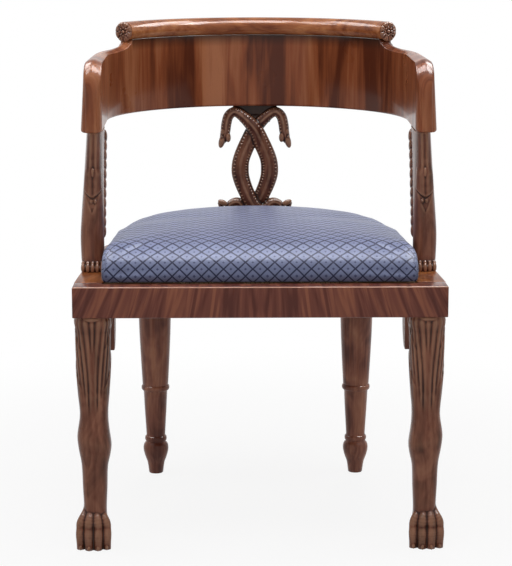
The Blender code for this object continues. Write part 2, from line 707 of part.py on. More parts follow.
def make_support(label, side):
    """Arm support that stands on a small paw, wider to the back and thinner towards the arm."""
    low = SEAT_HEIGHT + GAP
    high = BAND_BOTTOM - GAP
    tall = high - low
    front = SUPPORT_FRONT_Y
    foot_offset = front - FRONT_Y + SUPPORT_FOOT_DEPTH / 2
    foot_width = rail_outer(foot_offset) - SUPPORT_FOOT_INSET - INNER_RADIUS
    foot_depth = SUPPORT_FOOT_DEPTH
    ankle = SUPPORT_ANKLE_HEIGHT / tall
    groove = SUPPORT_TOE_GROOVE

    def leg_row(share, thinning, setting, deepening, squareness):
        """Row of the leg from shares of the way from foot to arm."""
        leg_width = foot_width - SUPPORT_LEG_INSET
        width = leg_width + (SUPPORT_TOP_WIDTH - leg_width) * thinning
        depth = SUPPORT_LEG_DEPTH + (SUPPORT_TOP_DEPTH - SUPPORT_LEG_DEPTH) * deepening
        return share, width, SUPPORT_LEG_SET * setting, depth, squareness, 0.0

    keys = (
        (0.0, foot_width, 0.0, foot_depth, 2.8, groove),
        (ankle * 0.5, foot_width, 0.1 * SUPPORT_LEG_SET, foot_depth, 2.8, groove),
        leg_row(ankle, 0.0, 0.8, 0.0, 2.5),
        leg_row(0.25, 0.0, 1.0, 0.0, 2.5),
        leg_row(0.40, 0.15, 0.7, 0.12, 2.5),
        leg_row(0.60, 0.45, 0.35, 0.38, 2.6),
        leg_row(0.80, 0.75, 0.1, 0.62, 2.8),
        leg_row(1.0, 1.0, 0.0, 1.0, 3.0),
    )
    rings = []
    for share, width, start, depth, squareness, cut in rows_through(keys, 2):
        ring = carved_ring(INNER_RADIUS, INNER_RADIUS + width, front + start,
                           front + start + depth, squareness, cut, low + share * tall)
        rings.append([(side * x, y, z) for x, y, z in ring])
    return smooth(add_object("arm_support_" + label, skin(rings), DARK_MAHOGANY, 0.38))


# Serpent splat

def serpent_rows(side):
    """Path of one serpent, from its head to its tail: across, height, width and move to the front.

    The keys give across and width as shares of half the splat's width, and height as a share
    of the room between the splat's base block and its head block.
    """
    head_side = -side
    weave = SPLAT_WEAVE * side
    keys = (
        (0.94, 0.680, 0.07, 0.0), (0.86, 0.741, 0.22, 0.0), (0.81, 0.815, 0.27, 0.0),
        (0.78, 0.896, 0.28, 0.0), (0.70, 0.955, 0.28, 0.0), (0.54, 0.982, 0.31, 0.2),
        (0.33, 0.950, 0.36, 0.6), (0.015, 0.854, 0.40, 1.0), (-0.165, 0.725, 0.45, 0.6),
        (-0.36, 0.560, 0.46, 0.0), (-0.405, 0.442, 0.48, 0.0), (-0.365, 0.345, 0.46, 0.0),
        (-0.22, 0.210, 0.43, -0.6), (-0.015, 0.082, 0.41, -1.0), (0.24, 0.040, 0.30, -0.8),
        (0.46, 0.118, 0.25, -0.4), (0.66, 0.104, 0.21, 0.0), (0.78, 0.042, 0.18, 0.0),
        (0.895, 0.053, 0.15, 0.0), (1.0, 0.118, 0.075, 0.0),
    )
    half = SPLAT_WIDTH / 2
    room = ARM_RISE - SPLAT_BASE_HEIGHT - SPLAT_HEAD_HEIGHT
    rows = []
    for across, height, width, forward in path_through(keys, 3):
        z = SEAT_HEIGHT + SPLAT_BASE_HEIGHT + height * room
        rows.append((head_side * across * half, z, width * half, SPLAT_Y - forward * weave))
    return rows


def bend_room(rows):
    """For each row the direction across the body and the reach on its two sides.

    On the inside of a bend, and a few rows before and after it, the reach stays within the
    radius of the bend, so that the body doesn't fold.
    """
    places = [Vector((row[0], 0, row[1])) for row in rows]
    last = len(rows) - 1
    directions = []
    reaches = []
    for index, row in enumerate(rows):
        arriving = places[max(index, 1)] - places[max(index, 1) - 1]
        leaving = places[min(index, last - 1) + 1] - places[min(index, last - 1)]
        along = (arriving + leaving).normalized()
        across = Vector((along.z, 0, -along.x))
        directions.append(across)
        reach = [row[2] / 2, row[2] / 2]
        bend = arriving.angle(leaving)
        if bend > 0:
            inner_side = 0 if leaving.dot(across) > 0 else 1
            radius = (arriving.length + leaving.length) / 2 / bend
            reach[inner_side] = min(reach[inner_side], BEND_ROOM * radius)
        reaches.append(reach)
    room = []
    for index in range(len(rows)):
        near = reaches[max(index - BEND_ROWS, 0):index + BEND_ROWS + 1]
        plus = min(reach[0] for reach in near)
        minus = min(reach[1] for reach in near)
        room.append((directions[index], plus, minus))
    return room


def make_serpent(side):
    rows = serpent_rows(side)
    rings = []
    for (x, z, width, y), (across, plus, minus) in zip(rows, bend_room(rows)):
        ring = []
        for corner in range(SERPENT_SIDES):
            turn = 2 * math.pi * corner / SERPENT_SIDES
            depth = min(SPLAT_DEPTH, width * 1.1) / 2 * math.sin(turn)
            reach = plus if math.cos(turn) > 0 else minus
            ring.append(Vector((x, y + depth, z)) + across * reach * math.cos(turn))
        rings.append(ring)
    return skin(rings)


def make_splat(rail, panel):
    """The carved board: two crossing serpents, a head block, a base block and two tenons."""
    splat = smooth(add_object("serpent_splat", make_serpent(1), DARK_MAHOGANY, 0.38))
    combine(splat, hidden("splat_second_serpent", make_serpent(-1)), "UNION")
    low = SEAT_HEIGHT + GAP
    high = BAND_BOTTOM - GAP
    half_depth = SPLAT_BLOCK_DEPTH / 2
    blocks = (
        ("splat_base", SPLAT_BASE_WIDTH, half_depth, low, low + SPLAT_BASE_HEIGHT),
        ("splat_head", SPLAT_HEAD_WIDTH, half_depth * 0.8, high - SPLAT_HEAD_HEIGHT, high),
        ("splat_base_tenon", TENON_WIDTH, TENON_DEPTH / 2, low - TENON_LENGTH, low + SPLAT_BASE_HEIGHT / 2),
        ("splat_head_tenon", TENON_WIDTH, TENON_DEPTH / 2, high - SPLAT_HEAD_HEIGHT / 2, high + TENON_LENGTH),
    )
    for name, width, depth, bottom, top in blocks:
        body = box((-width / 2, SPLAT_Y - depth, bottom), (width / 2, SPLAT_Y + depth, top))
        combine(splat, hidden(name, body), "UNION")
    half_width = TENON_WIDTH / 2 + PIN_CLEARANCE
    half_tenon = TENON_DEPTH / 2 + PIN_CLEARANCE
    mortises = (
        ("base_mortise", rail, SEAT_HEIGHT - TENON_LENGTH - DOWEL_END_ROOM, SEAT_HEIGHT + TENON_LENGTH),
        ("head_mortise", panel, BAND_BOTTOM - TENON_LENGTH, BAND_BOTTOM + TENON_LENGTH + DOWEL_END_ROOM),
    )
    for name, host, bottom, top in mortises:
        body = box((-half_width, SPLAT_Y - half_tenon, bottom), (half_width, SPLAT_Y + half_tenon, top))
        combine(host, hidden(name, body), "DIFFERENCE")


# Corner blocks and screws

def lower_inner(offset):
    return opening(offset) - REBATE_WIDTH


def screw(name, seat_point, direction, hosts):
    """Countersunk screw that bites in the rail, with its hole cut into block and rail."""
    along = Vector(direction)
    start = Vector(seat_point) - along * (SCREW_SEAT + SCREW_HEAD_HEIGHT)
    head = SCREW_HEAD / 2
    shank = SCREW_DIAMETER / 2
    length = SCREW_HEAD_HEIGHT + SCREW_SEAT + SCREW_BITE
    profile = [(0, 0), (head, 0), (head, SCREW_HEAD_HEIGHT * 0.3), (shank, SCREW_HEAD_HEIGHT * 1.6),
               (shank, length - 0.006), (0, length)]
    smooth(add_object(name, turned(profile, 8, start, along), STEEL, 0.45, 1.0))
    clear = PIN_CLEARANCE
    room = BLOCK_LEG
    hole = [(0, -room), (head + clear, -room), (head + clear, SCREW_HEAD_HEIGHT * 0.3 + clear),
            (shank + clear, SCREW_HEAD_HEIGHT * 1.6 + clear), (shank + clear, length + clear),
            (0, length + clear)]
    cutter = hidden(name + "_hole", turned(hole, 8, start, along))
    for host in hosts:
        combine(host, cutter, "DIFFERENCE")


def make_front_block(label, side, front_rail, side_rail):
    bottom = RAIL_BOTTOM + BLOCK_DROP
    top = REBATE_FLOOR - BLOCK_DROP
    start = FRONT_RAIL_DEPTH + GAP
    end = start + BLOCK_LEG
    corner = lower_inner(start) - GAP
    plan = [
        (side * corner, FRONT_Y + start),
        (side * (lower_inner(end) - GAP), FRONT_Y + end),
        (side * (corner - BLOCK_LEG), FRONT_Y + start),
    ]
    name = "front_corner_block_" + label
    block = add_object(name, prism(plan, bottom, top), BEECH, 0.6)
    height = (bottom + top) / 2
    reach = BLOCK_LEG * 0.42
    screw("front_block_screw_" + label, (side * (corner - reach), FRONT_Y + FRONT_RAIL_DEPTH, height),
          (0, -1, 0), (block, front_rail))
    screw("side_block_screw_" + label, (side * lower_inner(start + reach), FRONT_Y + start + reach, height),
          (side, 0, 0), (block, side_rail))


def make_rear_block(label, side, side_rail, back_rail):
    bottom = RAIL_BOTTOM + BLOCK_DROP
    top = REBATE_FLOOR - BLOCK_DROP
    half = REAR_BLOCK_LENGTH / 2
    lower_radius = RAIL_RADIUS - SIDE_RAIL_WIDTH - REBATE_WIDTH
    face = math.sqrt(lower_radius ** 2 - half ** 2) * math.cos(ARC_STEP / 2) - GAP
    low = min(side * face, side * (face - REAR_BLOCK_WIDTH))
    high = max(side * face, side * (face - REAR_BLOCK_WIDTH))
    body = box((low, ARC_Y - half, bottom), (high, ARC_Y + half, top))
    block = add_object("rear_corner_block_" + label, body, BEECH, 0.6)
    height = (bottom + top) / 2
    for word, shift, rail in (("rail", -half / 2, side_rail), ("arc", half / 2, back_rail)):
        screw("rear_block_" + word + "_screw_" + label, (side * face, ARC_Y + shift, height),
              (side, 0, 0), (block, rail))


# Loose seat

def bar_ring(place):
    bottom = REBATE_FLOOR + GAP
    section = ((0, bottom), (0, bottom + BAR_HEIGHT), (BAR_WIDTH, bottom + BAR_HEIGHT), (BAR_WIDTH, bottom))
    return [(*place(inward), height) for inward, height in section]


def make_seat_frame():
    front = FRONT_RAIL_LIP + SEAT_CLEARANCE
    bottom = REBATE_FLOOR + GAP
    behind = front + BAR_WIDTH
    front_half = opening(front) - SEAT_CLEARANCE
    behind_half = opening(behind) - SEAT_CLEARANCE
    plan = [
        (-front_half, FRONT_Y + front), (front_half, FRONT_Y + front),
        (behind_half, FRONT_Y + behind), (-behind_half, FRONT_Y + behind),
    ]
    add_object("seat_bar_front", prism(plan, bottom, bottom + BAR_HEIGHT), BEECH, 0.6)
    radius = RAIL_RADIUS - SIDE_RAIL_WIDTH - SEAT_CLEARANCE
    for label, side in SIDES:
        rings = []
        stations = 6
        for index in range(stations + 1):
            offset = behind + GAP + (ARC_OFFSET - 2 * GAP - behind) * index / stations
            edge = opening(offset) - SEAT_CLEARANCE
            rings.append(bar_ring(lambda inward: (side * (edge - inward), FRONT_Y + offset)))
        add_object("seat_bar_" + label, skin(rings), BEECH, 0.6)
        rings = []
        for angle in arc_angles(side * math.pi / 2, side * GAP / radius):
            rings.append(bar_ring(lambda inward: on_arc(radius - inward, angle)))
        add_object("seat_bar_back_" + label, skin(rings), BEECH, 0.6)


def strap_level(high):
    bottom = REBATE_FLOOR + GAP + BAR_HEIGHT + GAP
    return bottom + (STRAP_THICKNESS + GAP if high else 0.0)


def make_strap(name, start, end, crossings, across):
    """Flat strap that lies on two bars and goes over and under the straps that it meets."""
    start = Vector((*start, 0))
    end = Vector((*end, 0))
    length = (end - start).length
    along = (end - start).normalized()
    stations = [(0.0, False), (STRAP_LAP, False)]
    flat = STRAP_WIDTH / 2 + STRAP_SPARE
    for distance, high in crossings:
        stations.append((distance - flat, high))
        stations.append((distance + flat, high))
    stations += [(length - STRAP_LAP, False), (length, False)]
    half = Vector((*across, 0)) * STRAP_WIDTH / 2
    rings = []
    for distance, high in stations:
        middle = start + along * distance
        low = Vector((0, 0, strap_level(high)))
        top = low + Vector((0, 0, STRAP_THICKNESS))
        rings.append([middle - half + low, middle + half + low, middle + half + top, middle - half + top])
    add_object(name, skin(rings), JUTE, 0.9)


def make_webbing():
    middle = (STRAPS_EACH_WAY - 1) / 2
    places = [(index - middle) * STRAP_PITCH for index in range(STRAPS_EACH_WAY)]
    middle_y = FRONT_Y + (FRONT_RAIL_LIP + ARC_OFFSET + RAIL_RADIUS - SIDE_RAIL_WIDTH) / 2
    front = FRONT_Y + FRONT_RAIL_LIP + SEAT_CLEARANCE + BAR_WIDTH - STRAP_LAP
    radius = RAIL_RADIUS - SIDE_RAIL_WIDTH - SEAT_CLEARANCE - BAR_WIDTH
    for number, x in enumerate(places):
        back = ARC_Y + math.sqrt(radius ** 2 - (abs(x) - STRAP_WIDTH / 2) ** 2) + STRAP_LAP / 2
        crossings = []
        for other, y in enumerate(places):
            crossings.append((middle_y + y - front, (number + other) % 2 == 0))
        make_strap(f"webbing_long_{number + 1}", (x, front), (x, back), crossings, (1, 0))
    for number, y in enumerate(places):
        level = middle_y + y
        if level < ARC_Y:
            reach = opening(level - FRONT_Y) - SEAT_CLEARANCE - BAR_WIDTH + STRAP_LAP
        else:
            nearest = level - ARC_Y - STRAP_WIDTH / 2
            reach = math.sqrt(radius ** 2 - nearest ** 2) + STRAP_LAP / 2
        crossings = []
        for other, x in enumerate(places):
            crossings.append((reach + x, (number + other) % 2 == 1))
        make_strap(f"webbing_cross_{number + 1}", (-reach, level), (reach, level), crossings, (0, 1))


def cushion_rings(inset, bottom):
    """Rings of the crowned seat, drawn in at the rail and round the edge, inset all over."""
    wall = SEAT_HEIGHT + CUSHION_WALL
    sides = (
        (0.0, bottom), (CUSHION_BULGE * 0.85, SEAT_HEIGHT + CUSHION_WALL * 0.36),
        (CUSHION_BULGE, SEAT_HEIGHT + CUSHION_WALL * 0.70), (-CUSHION_TUCK, wall - inset),
    )
    rings = []
    for margin, height in sides:
        plan = seat_plan(margin - inset, 8, 5, math.radians(13))
        rings.append([Vector((x, y, height)) for x, y in plan])
    edge = rings[-1]
    centre = Vector((0, ARC_Y, 0))
    for share in (0.955, 0.86, 0.70, 0.48, 0.22):
        height = wall - inset + CUSHION_CROWN * (1 - share ** CUSHION_FLATNESS) ** CUSHION_SHOULDER
        ring = []
        for point in edge:
            flat = centre + (Vector((point.x, point.y, 0)) - centre) * share
            ring.append(Vector((flat.x, flat.y, height)))
        rings.append(ring)
    return rings


def make_upholstery():
    low = strap_level(True) + STRAP_THICKNESS + GAP
    cloth_plan = seat_plan(-CLOTH_INSET, 6, 4, math.radians(13))
    add_object("base_cloth", prism(cloth_plan, low, low + CLOTH_THICKNESS), JUTE, 0.9)
    bottom = low + CLOTH_THICKNESS + GAP
    filling = cushion_rings(COVER_THICKNESS + GAP, bottom)
    smooth(add_object("seat_stuffing", skin(filling), HAIR, 0.95))
    hem = SEAT_HEIGHT + GAP
    outer = cushion_rings(0.0, hem)
    inner = cushion_rings(COVER_THICKNESS, hem)
    shell = list(reversed(outer)) + inner
    smooth(add_object("seat_cover", skin(shell), BLUE_SILK, 0.55))


# Assembly

def make_frame():
    front_rail = make_front_rail()
    side_rails = {label: make_side_rail(label, side) for label, side in SIDES}
    joint_gap = GAP / RAIL_RADIUS
    back_rails = {}
    for label, side in SIDES:
        back_rails[label] = make_back_rail(label, side * math.pi / 2, side * (RAIL_JOINT_ANGLE + joint_gap))
    centre_rail = make_back_rail("centre", -RAIL_JOINT_ANGLE, RAIL_JOINT_ANGLE)
    panel = make_back_panel()
    crest = make_crest()
    make_splat(centre_rail, panel)
    for label, side in SIDES:
        leg = make_front_leg(label, side)
        make_bracket(label, side)
        make_rear_leg(label, side, back_rails[label])
        support = make_support(label, side)
        arm = make_arm(label, side)
        make_rosette(label, side)
        make_front_block(label, side, front_rail, side_rails[label])
        make_rear_block(label, side, side_rails[label], back_rails[label])
        dowel("front_leg_dowel_" + label, (side * LEG_X, FRONT_Y + FRONT_RAIL_DEPTH / 2, RAIL_BOTTOM),
              (0, 0, 1), DOWEL_HALF, LEG_DOWEL_DIAMETER, (leg, front_rail))
        rail_x = rail_outer(FRONT_RAIL_DEPTH) - SIDE_RAIL_WIDTH / 2
        rail_z = SEAT_HEIGHT - REBATE_DEPTH / 2
        dowel("rail_dowel_" + label, (side * rail_x, FRONT_Y + FRONT_RAIL_DEPTH, rail_z),
              (0, 1, 0), FRONT_RAIL_DEPTH / 2, DOWEL_DIAMETER, (front_rail, side_rails[label]))
        support_x = INNER_RADIUS + SUPPORT_TOP_WIDTH / 2
        foot_y = SUPPORT_FRONT_Y + SUPPORT_FOOT_DEPTH / 2
        dowel("support_foot_dowel_" + label, (side * support_x, foot_y, SEAT_HEIGHT),
              (0, 0, 1), DOWEL_HALF, DOWEL_DIAMETER, (support, side_rails[label]))
        head_y = SUPPORT_FRONT_Y + SUPPORT_TOP_DEPTH / 2
        dowel("support_head_dowel_" + label, (side * support_x, head_y, BAND_BOTTOM),
              (0, 0, 1), DOWEL_HALF, DOWEL_DIAMETER, (support, arm))
        arm_x = INNER_RADIUS + band_width(ARM_LENGTH) / 2
        dowel("arm_dowel_" + label, (side * arm_x, ARC_Y, BAND_BOTTOM + ARM_SHOULDER / 2),
              (0, 1, 0), DOWEL_HALF, DOWEL_DIAMETER, (arm, panel))
        crest_place = (*on_arc(CREST_RADIUS, side * CREST_DOWEL_ANGLE), CREST_FLAT_Z)
        dowel("crest_dowel_" + label, crest_place, (0, 0, 1), CREST_DOWEL_HALF,
              CREST_DOWEL_DIAMETER, (crest, panel))


def make_seat():
    """The loose seat, held by an empty on the line along which it lifts out."""
    frame_pieces = set(bpy.data.objects)
    make_seat_frame()
    make_webbing()
    make_upholstery()
    seat_pieces = [item for item in bpy.data.objects if item not in frame_pieces]
    lift_line = bpy.data.objects.new("seat_lift_line", None)
    lift_line.location = (0, ARC_Y, REBATE_FLOOR)
    bpy.context.scene.collection.objects.link(lift_line)
    for item in seat_pieces:
        item.parent = lift_line
        item.matrix_parent_inverse = Matrix.Translation(-lift_line.location)


clear_scene()
make_frame()
make_seat()
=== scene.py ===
# %% [markdown]
# A desk armchair with a horseshoe back, dressed over its packed working model.
#
# The working model holds every rail, dowel and screw in its real place. This script keeps that model as
# a fixed frame and gives the chair its looks: polished and carved mahogany, a silk seat, and the light
# of a studio. It is written as a lesson, one piece after the other, so each step first says what the
# piece is and why it is made so.

# %% Load the working model
import math

import bmesh
import bpy
import numpy as np
from mathutils import Euler, Matrix, Vector
from mathutils.bvhtree import BVHTree


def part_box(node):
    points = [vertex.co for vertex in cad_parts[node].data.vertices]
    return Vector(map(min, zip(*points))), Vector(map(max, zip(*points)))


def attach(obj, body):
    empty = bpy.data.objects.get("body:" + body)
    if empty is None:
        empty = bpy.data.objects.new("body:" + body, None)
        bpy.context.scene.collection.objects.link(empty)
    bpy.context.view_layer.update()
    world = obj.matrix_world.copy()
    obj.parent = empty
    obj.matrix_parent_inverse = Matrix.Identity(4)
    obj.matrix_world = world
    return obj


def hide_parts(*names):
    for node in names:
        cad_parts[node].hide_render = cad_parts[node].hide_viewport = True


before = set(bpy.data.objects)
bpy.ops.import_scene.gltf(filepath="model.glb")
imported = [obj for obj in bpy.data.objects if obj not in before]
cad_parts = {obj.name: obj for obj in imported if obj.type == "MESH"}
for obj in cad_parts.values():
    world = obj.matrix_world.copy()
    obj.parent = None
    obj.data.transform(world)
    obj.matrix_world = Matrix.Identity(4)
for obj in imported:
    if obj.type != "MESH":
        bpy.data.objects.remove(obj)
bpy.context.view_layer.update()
print("solids in the working model:", len(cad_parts))

# %% [markdown]
# The camera stands where the photographer stood: 3.3 m in front of the chair, a little left of its
# middle, with a long lens that looks slightly down. The place was solved from points on the chair whose
# true shape is known, such as the level seat rail and the round back, so that the render and the picture
# can be laid on top of each other.

# %% Camera
CAMERA_PLACE = (-0.061, -3.5706, 1.060)
CAMERA_DOWN = math.radians(10.65)
CAMERA_RIGHT = math.radians(0.94)
SENSOR_WIDTH = 36               # millimetres, as the lens
CAMERA_LENS = 133.57

camera_data = bpy.data.cameras.new("camera")
camera_data.sensor_width = SENSOR_WIDTH
camera_data.lens = CAMERA_LENS
camera = bpy.data.objects.new("camera", camera_data)
camera.location = CAMERA_PLACE
camera.rotation_euler = Euler((math.pi / 2 - CAMERA_DOWN, 0, -CAMERA_RIGHT))
bpy.context.scene.collection.objects.link(camera)
bpy.context.scene.camera = camera
bpy.context.scene.view_settings.view_transform = "Standard"
print("camera at", CAMERA_PLACE)

# %% [markdown]
# A material is a small net of nodes. Adding each node and each link by hand takes many lines, so one
# helper adds a node, sets its options, and fills its inputs: an input that is given another node's
# socket is linked, and any other value is written into the socket. Others make a row of colours from a
# number, do one step of arithmetic, mix two colours, start a new finish, and give the place of a point
# on the piece.

# %% Node helpers
def add_node(tree, kind, inputs=None, **options):
    node = tree.nodes.new(kind)
    for name, value in options.items():
        setattr(node, name, value)
    for name, value in (inputs or {}).items():
        if isinstance(value, bpy.types.NodeSocket):
            tree.links.new(value, node.inputs[name])
        else:
            node.inputs[name].default_value = value
    return node


def colours_from(tree, number, stops):
    """Colour row: stops are pairs of a number from 0 to 1 and a colour."""
    ramp = add_node(tree, "ShaderNodeValToRGB", {"Fac": number})
    row = ramp.color_ramp.elements
    while len(row) < len(stops):
        row.new(1.0)
    for element, (place, colour) in zip(row, stops):
        element.position = place
        element.color = (*colour, 1.0)
    return ramp.outputs["Color"]


def reckon(tree, operation, first, second=0.0, third=0.0):
    """One step of arithmetic on numbers or sockets."""
    return add_node(tree, "ShaderNodeMath", {0: first, 1: second, 2: third}, operation=operation).outputs[0]


def mix_colours(tree, share, first, second):
    node = add_node(tree, "ShaderNodeMix", data_type="RGBA")
    for index, value in ((0, share), (6, first), (7, second)):
        if isinstance(value, bpy.types.NodeSocket):
            tree.links.new(value, node.inputs[index])
        else:
            node.inputs[index].default_value = value
    return node.outputs[2]


def new_finish(name):
    """New material, its node tree and its shader."""
    material = bpy.data.materials.new(name)
    material.use_nodes = True
    return material, material.node_tree, material.node_tree.nodes["Principled BSDF"]


def object_place(tree):
    return add_node(tree, "ShaderNodeTexCoord").outputs["Object"]


# %% [markdown]
# The studio is plain: a pale floor and a white background. Near the chair the floor is an ordinary pale
# surface that carries the soft shadow, and further out it passes into plain white, so that no horizon
# shows. The Light Path node tells one kind of ray from another: rays from the camera, from a mirror
# surface and through glass see this pale floor, and all other rays find a darker grey, so that the floor
# throws only a little light back up at the chair.

# %% Floor
FLOOR_SIZE = 14.0
FLOOR_GREY = 0.94
FLOOR_LIFT = 0.88               # share of plain white near the chair
SHADOW_REACH = (0.55, 1.30)     # distance from the chair at which the shadow starts and ends to fade
BOUNCE_GREY = 0.50              # what the floor throws back at the chair


def rays_that_see_white(tree):
    """1 for rays from the camera, from a mirror surface or through glass."""
    path = add_node(tree, "ShaderNodeLightPath").outputs
    straight = reckon(tree, "MAXIMUM", path["Is Camera Ray"], path["Is Transmission Ray"])
    return reckon(tree, "MAXIMUM", straight, path["Is Glossy Ray"])


floor_mesh = bmesh.new()
bmesh.ops.create_grid(floor_mesh, x_segments=2, y_segments=2, size=FLOOR_SIZE / 2)
floor_data = bpy.data.meshes.new("floor")
floor_mesh.to_mesh(floor_data)
floor_mesh.free()
floor = bpy.data.objects.new("floor", floor_data)
bpy.context.scene.collection.objects.link(floor)

floor_finish, tree, shader = new_finish("studio_floor")
tree.nodes.remove(shader)
place = object_place(tree)
flat_place = add_node(tree, "ShaderNodeVectorMath", {0: place, 1: (1, 1, 0)}, operation="MULTIPLY").outputs[0]
distance = add_node(tree, "ShaderNodeVectorMath", {0: flat_place}, operation="LENGTH").outputs["Value"]
far_share = add_node(tree, "ShaderNodeMapRange", {
    "Value": distance, "From Min": SHADOW_REACH[0], "From Max": SHADOW_REACH[1],
}, interpolation_type="SMOOTHSTEP").outputs["Result"]
seen_rays = rays_that_see_white(tree)
lifted = reckon(tree, "MULTIPLY_ADD", far_share, 1 - FLOOR_LIFT, FLOOR_LIFT)
white_share = reckon(tree, "MULTIPLY", lifted, seen_rays)
bounce = (BOUNCE_GREY, BOUNCE_GREY, BOUNCE_GREY, 1)
floor_colour = mix_colours(tree, seen_rays, bounce, (FLOOR_GREY, FLOOR_GREY, FLOOR_GREY, 1))
paper = add_node(tree, "ShaderNodeBsdfDiffuse", {"Color": floor_colour})
white = add_node(tree, "ShaderNodeEmission", {"Color": (1, 1, 1, 1), "Strength": 1.0})
blend = add_node(tree, "ShaderNodeMixShader", {0: white_share, 1: paper.outputs[0], 2: white.outputs[0]})
tree.links.new(blend.outputs[0], tree.nodes["Material Output"].inputs["Surface"])
floor_data.materials.append(floor_finish)
print("floor of", FLOOR_SIZE, "m")

# %% [markdown]
# The world has two jobs. Rays from the camera, from mirror surfaces and through glass see plain white.
# All other rays get a weak even light that fills the shadows. A wide sheet above, a low box beside the
# camera and weak ones behind and at the sides light the chair. The other boxes only show in the polish:
# they draw the white line along the crest and the soft white spots on the arms and paws.

# %% World and lamps
AMBIENT = 0.17

world = bpy.data.worlds.new("studio")
world.use_nodes = True
bpy.context.scene.world = world
tree = world.node_tree
backdrop = tree.nodes["Background"]
backdrop.inputs["Color"].default_value = (1, 1, 1, 1)
even = add_node(tree, "ShaderNodeBackground", {"Color": (1, 1, 1, 1), "Strength": AMBIENT})
whole = add_node(tree, "ShaderNodeMixShader", {
    0: rays_that_see_white(tree), 1: even.outputs[0], 2: backdrop.outputs[0],
})
tree.links.new(whole.outputs[0], tree.nodes["World Output"].inputs["Surface"])


def add_lamp(name, place, target, size, power, in_polish):
    """Lamp that only lights the surfaces, or one that only shows in their polish."""
    lamp_data = bpy.data.lights.new(name, "AREA")
    lamp_data.shape = "RECTANGLE"
    lamp_data.size = size[0]
    lamp_data.size_y = size[1]
    lamp_data.energy = power
    lamp = bpy.data.objects.new(name, lamp_data)
    lamp.location = place
    lamp.rotation_euler = (Vector(target) - Vector(place)).to_track_quat("-Z", "Y").to_euler()
    lamp.visible_diffuse = not in_polish
    lamp.visible_glossy = in_polish
    bpy.context.scene.collection.objects.link(lamp)


LIGHTING_LAMPS = (              # name, place, target, size and power
    ("sheet_lamp", (0.0, -0.35, 2.40), (0.0, 0.0, 0.4), (2.4, 1.8), 29.0),
    ("front_lamp", (-0.10, -3.40, 0.95), (0.0, 0.0, 0.5), (0.85, 0.85), 20.0),
    ("back_lamp", (0.5, 3.20, 1.50), (0.0, 0.0, 0.5), (1.4, 1.2), 24.0),
    ("left_lamp", (-3.00, 0.60, 1.30), (0.0, 0.0, 0.5), (1.2, 1.2), 9.0),
    ("right_lamp", (3.00, 0.60, 1.30), (0.0, 0.0, 0.5), (1.2, 1.2), 9.0),
)
POLISH_LAMPS = (
    ("middle_box", (0.0, -0.25, 2.20), (0.0, 0.10, 0.8), (0.8, 0.8), 52.0),
    ("right_strip", (0.90, -0.25, 2.20), (0.0, 0.10, 0.8), (0.6, 0.8), 56.0),
    ("left_strip", (-0.90, -0.25, 2.20), (0.0, 0.10, 0.8), (0.6, 0.8), 26.0),
    ("left_box", (-1.05, 0.62, 2.15), (0.15, 0.2, 0.8), (0.9, 1.0), 48.0),
    ("right_box", (1.05, 0.62, 2.15), (-0.15, 0.2, 0.8), (0.9, 1.1), 66.0),
)
for row in LIGHTING_LAMPS:
    add_lamp(*row, in_polish=False)
for row in POLISH_LAMPS:
    add_lamp(*row, in_polish=True)

# %% [markdown]
# Mahogany is the main finish. Real mahogany has long soft streaks along the grain, a broad figure that
# crosses them, and fine open pores. Each is one noise texture that is stretched along the grain, so the
# grain only needs a vector whose first number runs along it. A thin clear coat stands for the shellac
# polish. The colours go from nearly black red to warm orange, and every piece gets its own direction of
# grain. The front rail is cut so that its figure rises like flames, and the band is laid with leaves of
# veneer that differ in lightness from one to the next.

# %% Mahogany settings
POLISH = 0.28
PORE_DARKNESS = 0.20
FLAME_LEAN = 5.0                # how fast the flames lean over with the distance from the middle
TONE_STOPS = (0.37, 0.50, 0.63)
STREAK_SCALE = (5, 95, 95)
PORE_SCALE = (70, 1300, 1300)
PORE_RANGE = (0.60, 0.72)       # noise at which a pore begins and is full
PORE_BUMP = 0.15
PORE_DEPTH = 0.0003
RUBBED_SCALE = (9, 9, 9)
RUBBED_RANGE = (0.3, 0.7)
ROUGH_SPREAD = (-0.05, 0.08)    # how far the rubbed patches differ from the middle roughness
COAT_ROUGHNESS = 0.12
WOOD_SPECULAR = 0.08


# %% [markdown]
# The grain of a board has a direction. For a straight board a Mapping node turns the Object coordinates
# until their first number runs along it. The flamed front rail and the bent band need their own sums,
# because their figure doesn't run in one direction: the flames lean outwards from the middle of the
# rail, and the veneer stands upright all round the band.

# %% Grain directions
def turned_grain(turn):
    """Grain along X, turned by Euler angles."""
    def socket(tree):
        place = object_place(tree)
        return add_node(tree, "ShaderNodeMapping", {"Vector": place, "Rotation": turn}).outputs[0]
    return socket


grain_x = turned_grain((0, 0, 0))
grain_y = turned_grain((0, 0, -math.pi / 2))
grain_z = turned_grain((0, math.pi / 2, 0))


def grain_flame(tree):
    """Two matched leaves: the figure is upright in the middle and leans outwards to the ends."""
    place = object_place(tree)
    parts = add_node(tree, "ShaderNodeSeparateXYZ", {0: place}).outputs
    beside = reckon(tree, "ABSOLUTE", parts["X"])
    slant = reckon(tree, "MULTIPLY", reckon(tree, "MULTIPLY", beside, FLAME_LEAN), parts["Z"])
    across = reckon(tree, "ADD", beside, slant)
    return add_node(tree, "ShaderNodeCombineXYZ", {"X": parts["Z"], "Y": across, "Z": parts["Y"]}).outputs[0]


def grain_up_band(tree):
    """Upright grain on the bent band: first the height, then the run along the band."""
    place = object_place(tree)
    height = add_node(tree, "ShaderNodeSeparateXYZ", {0: place}).outputs["Z"]
    run = add_node(tree, "ShaderNodeAttribute", attribute_name="run").outputs["Fac"]
    return add_node(tree, "ShaderNodeCombineXYZ", {"X": height, "Y": run}).outputs[0]


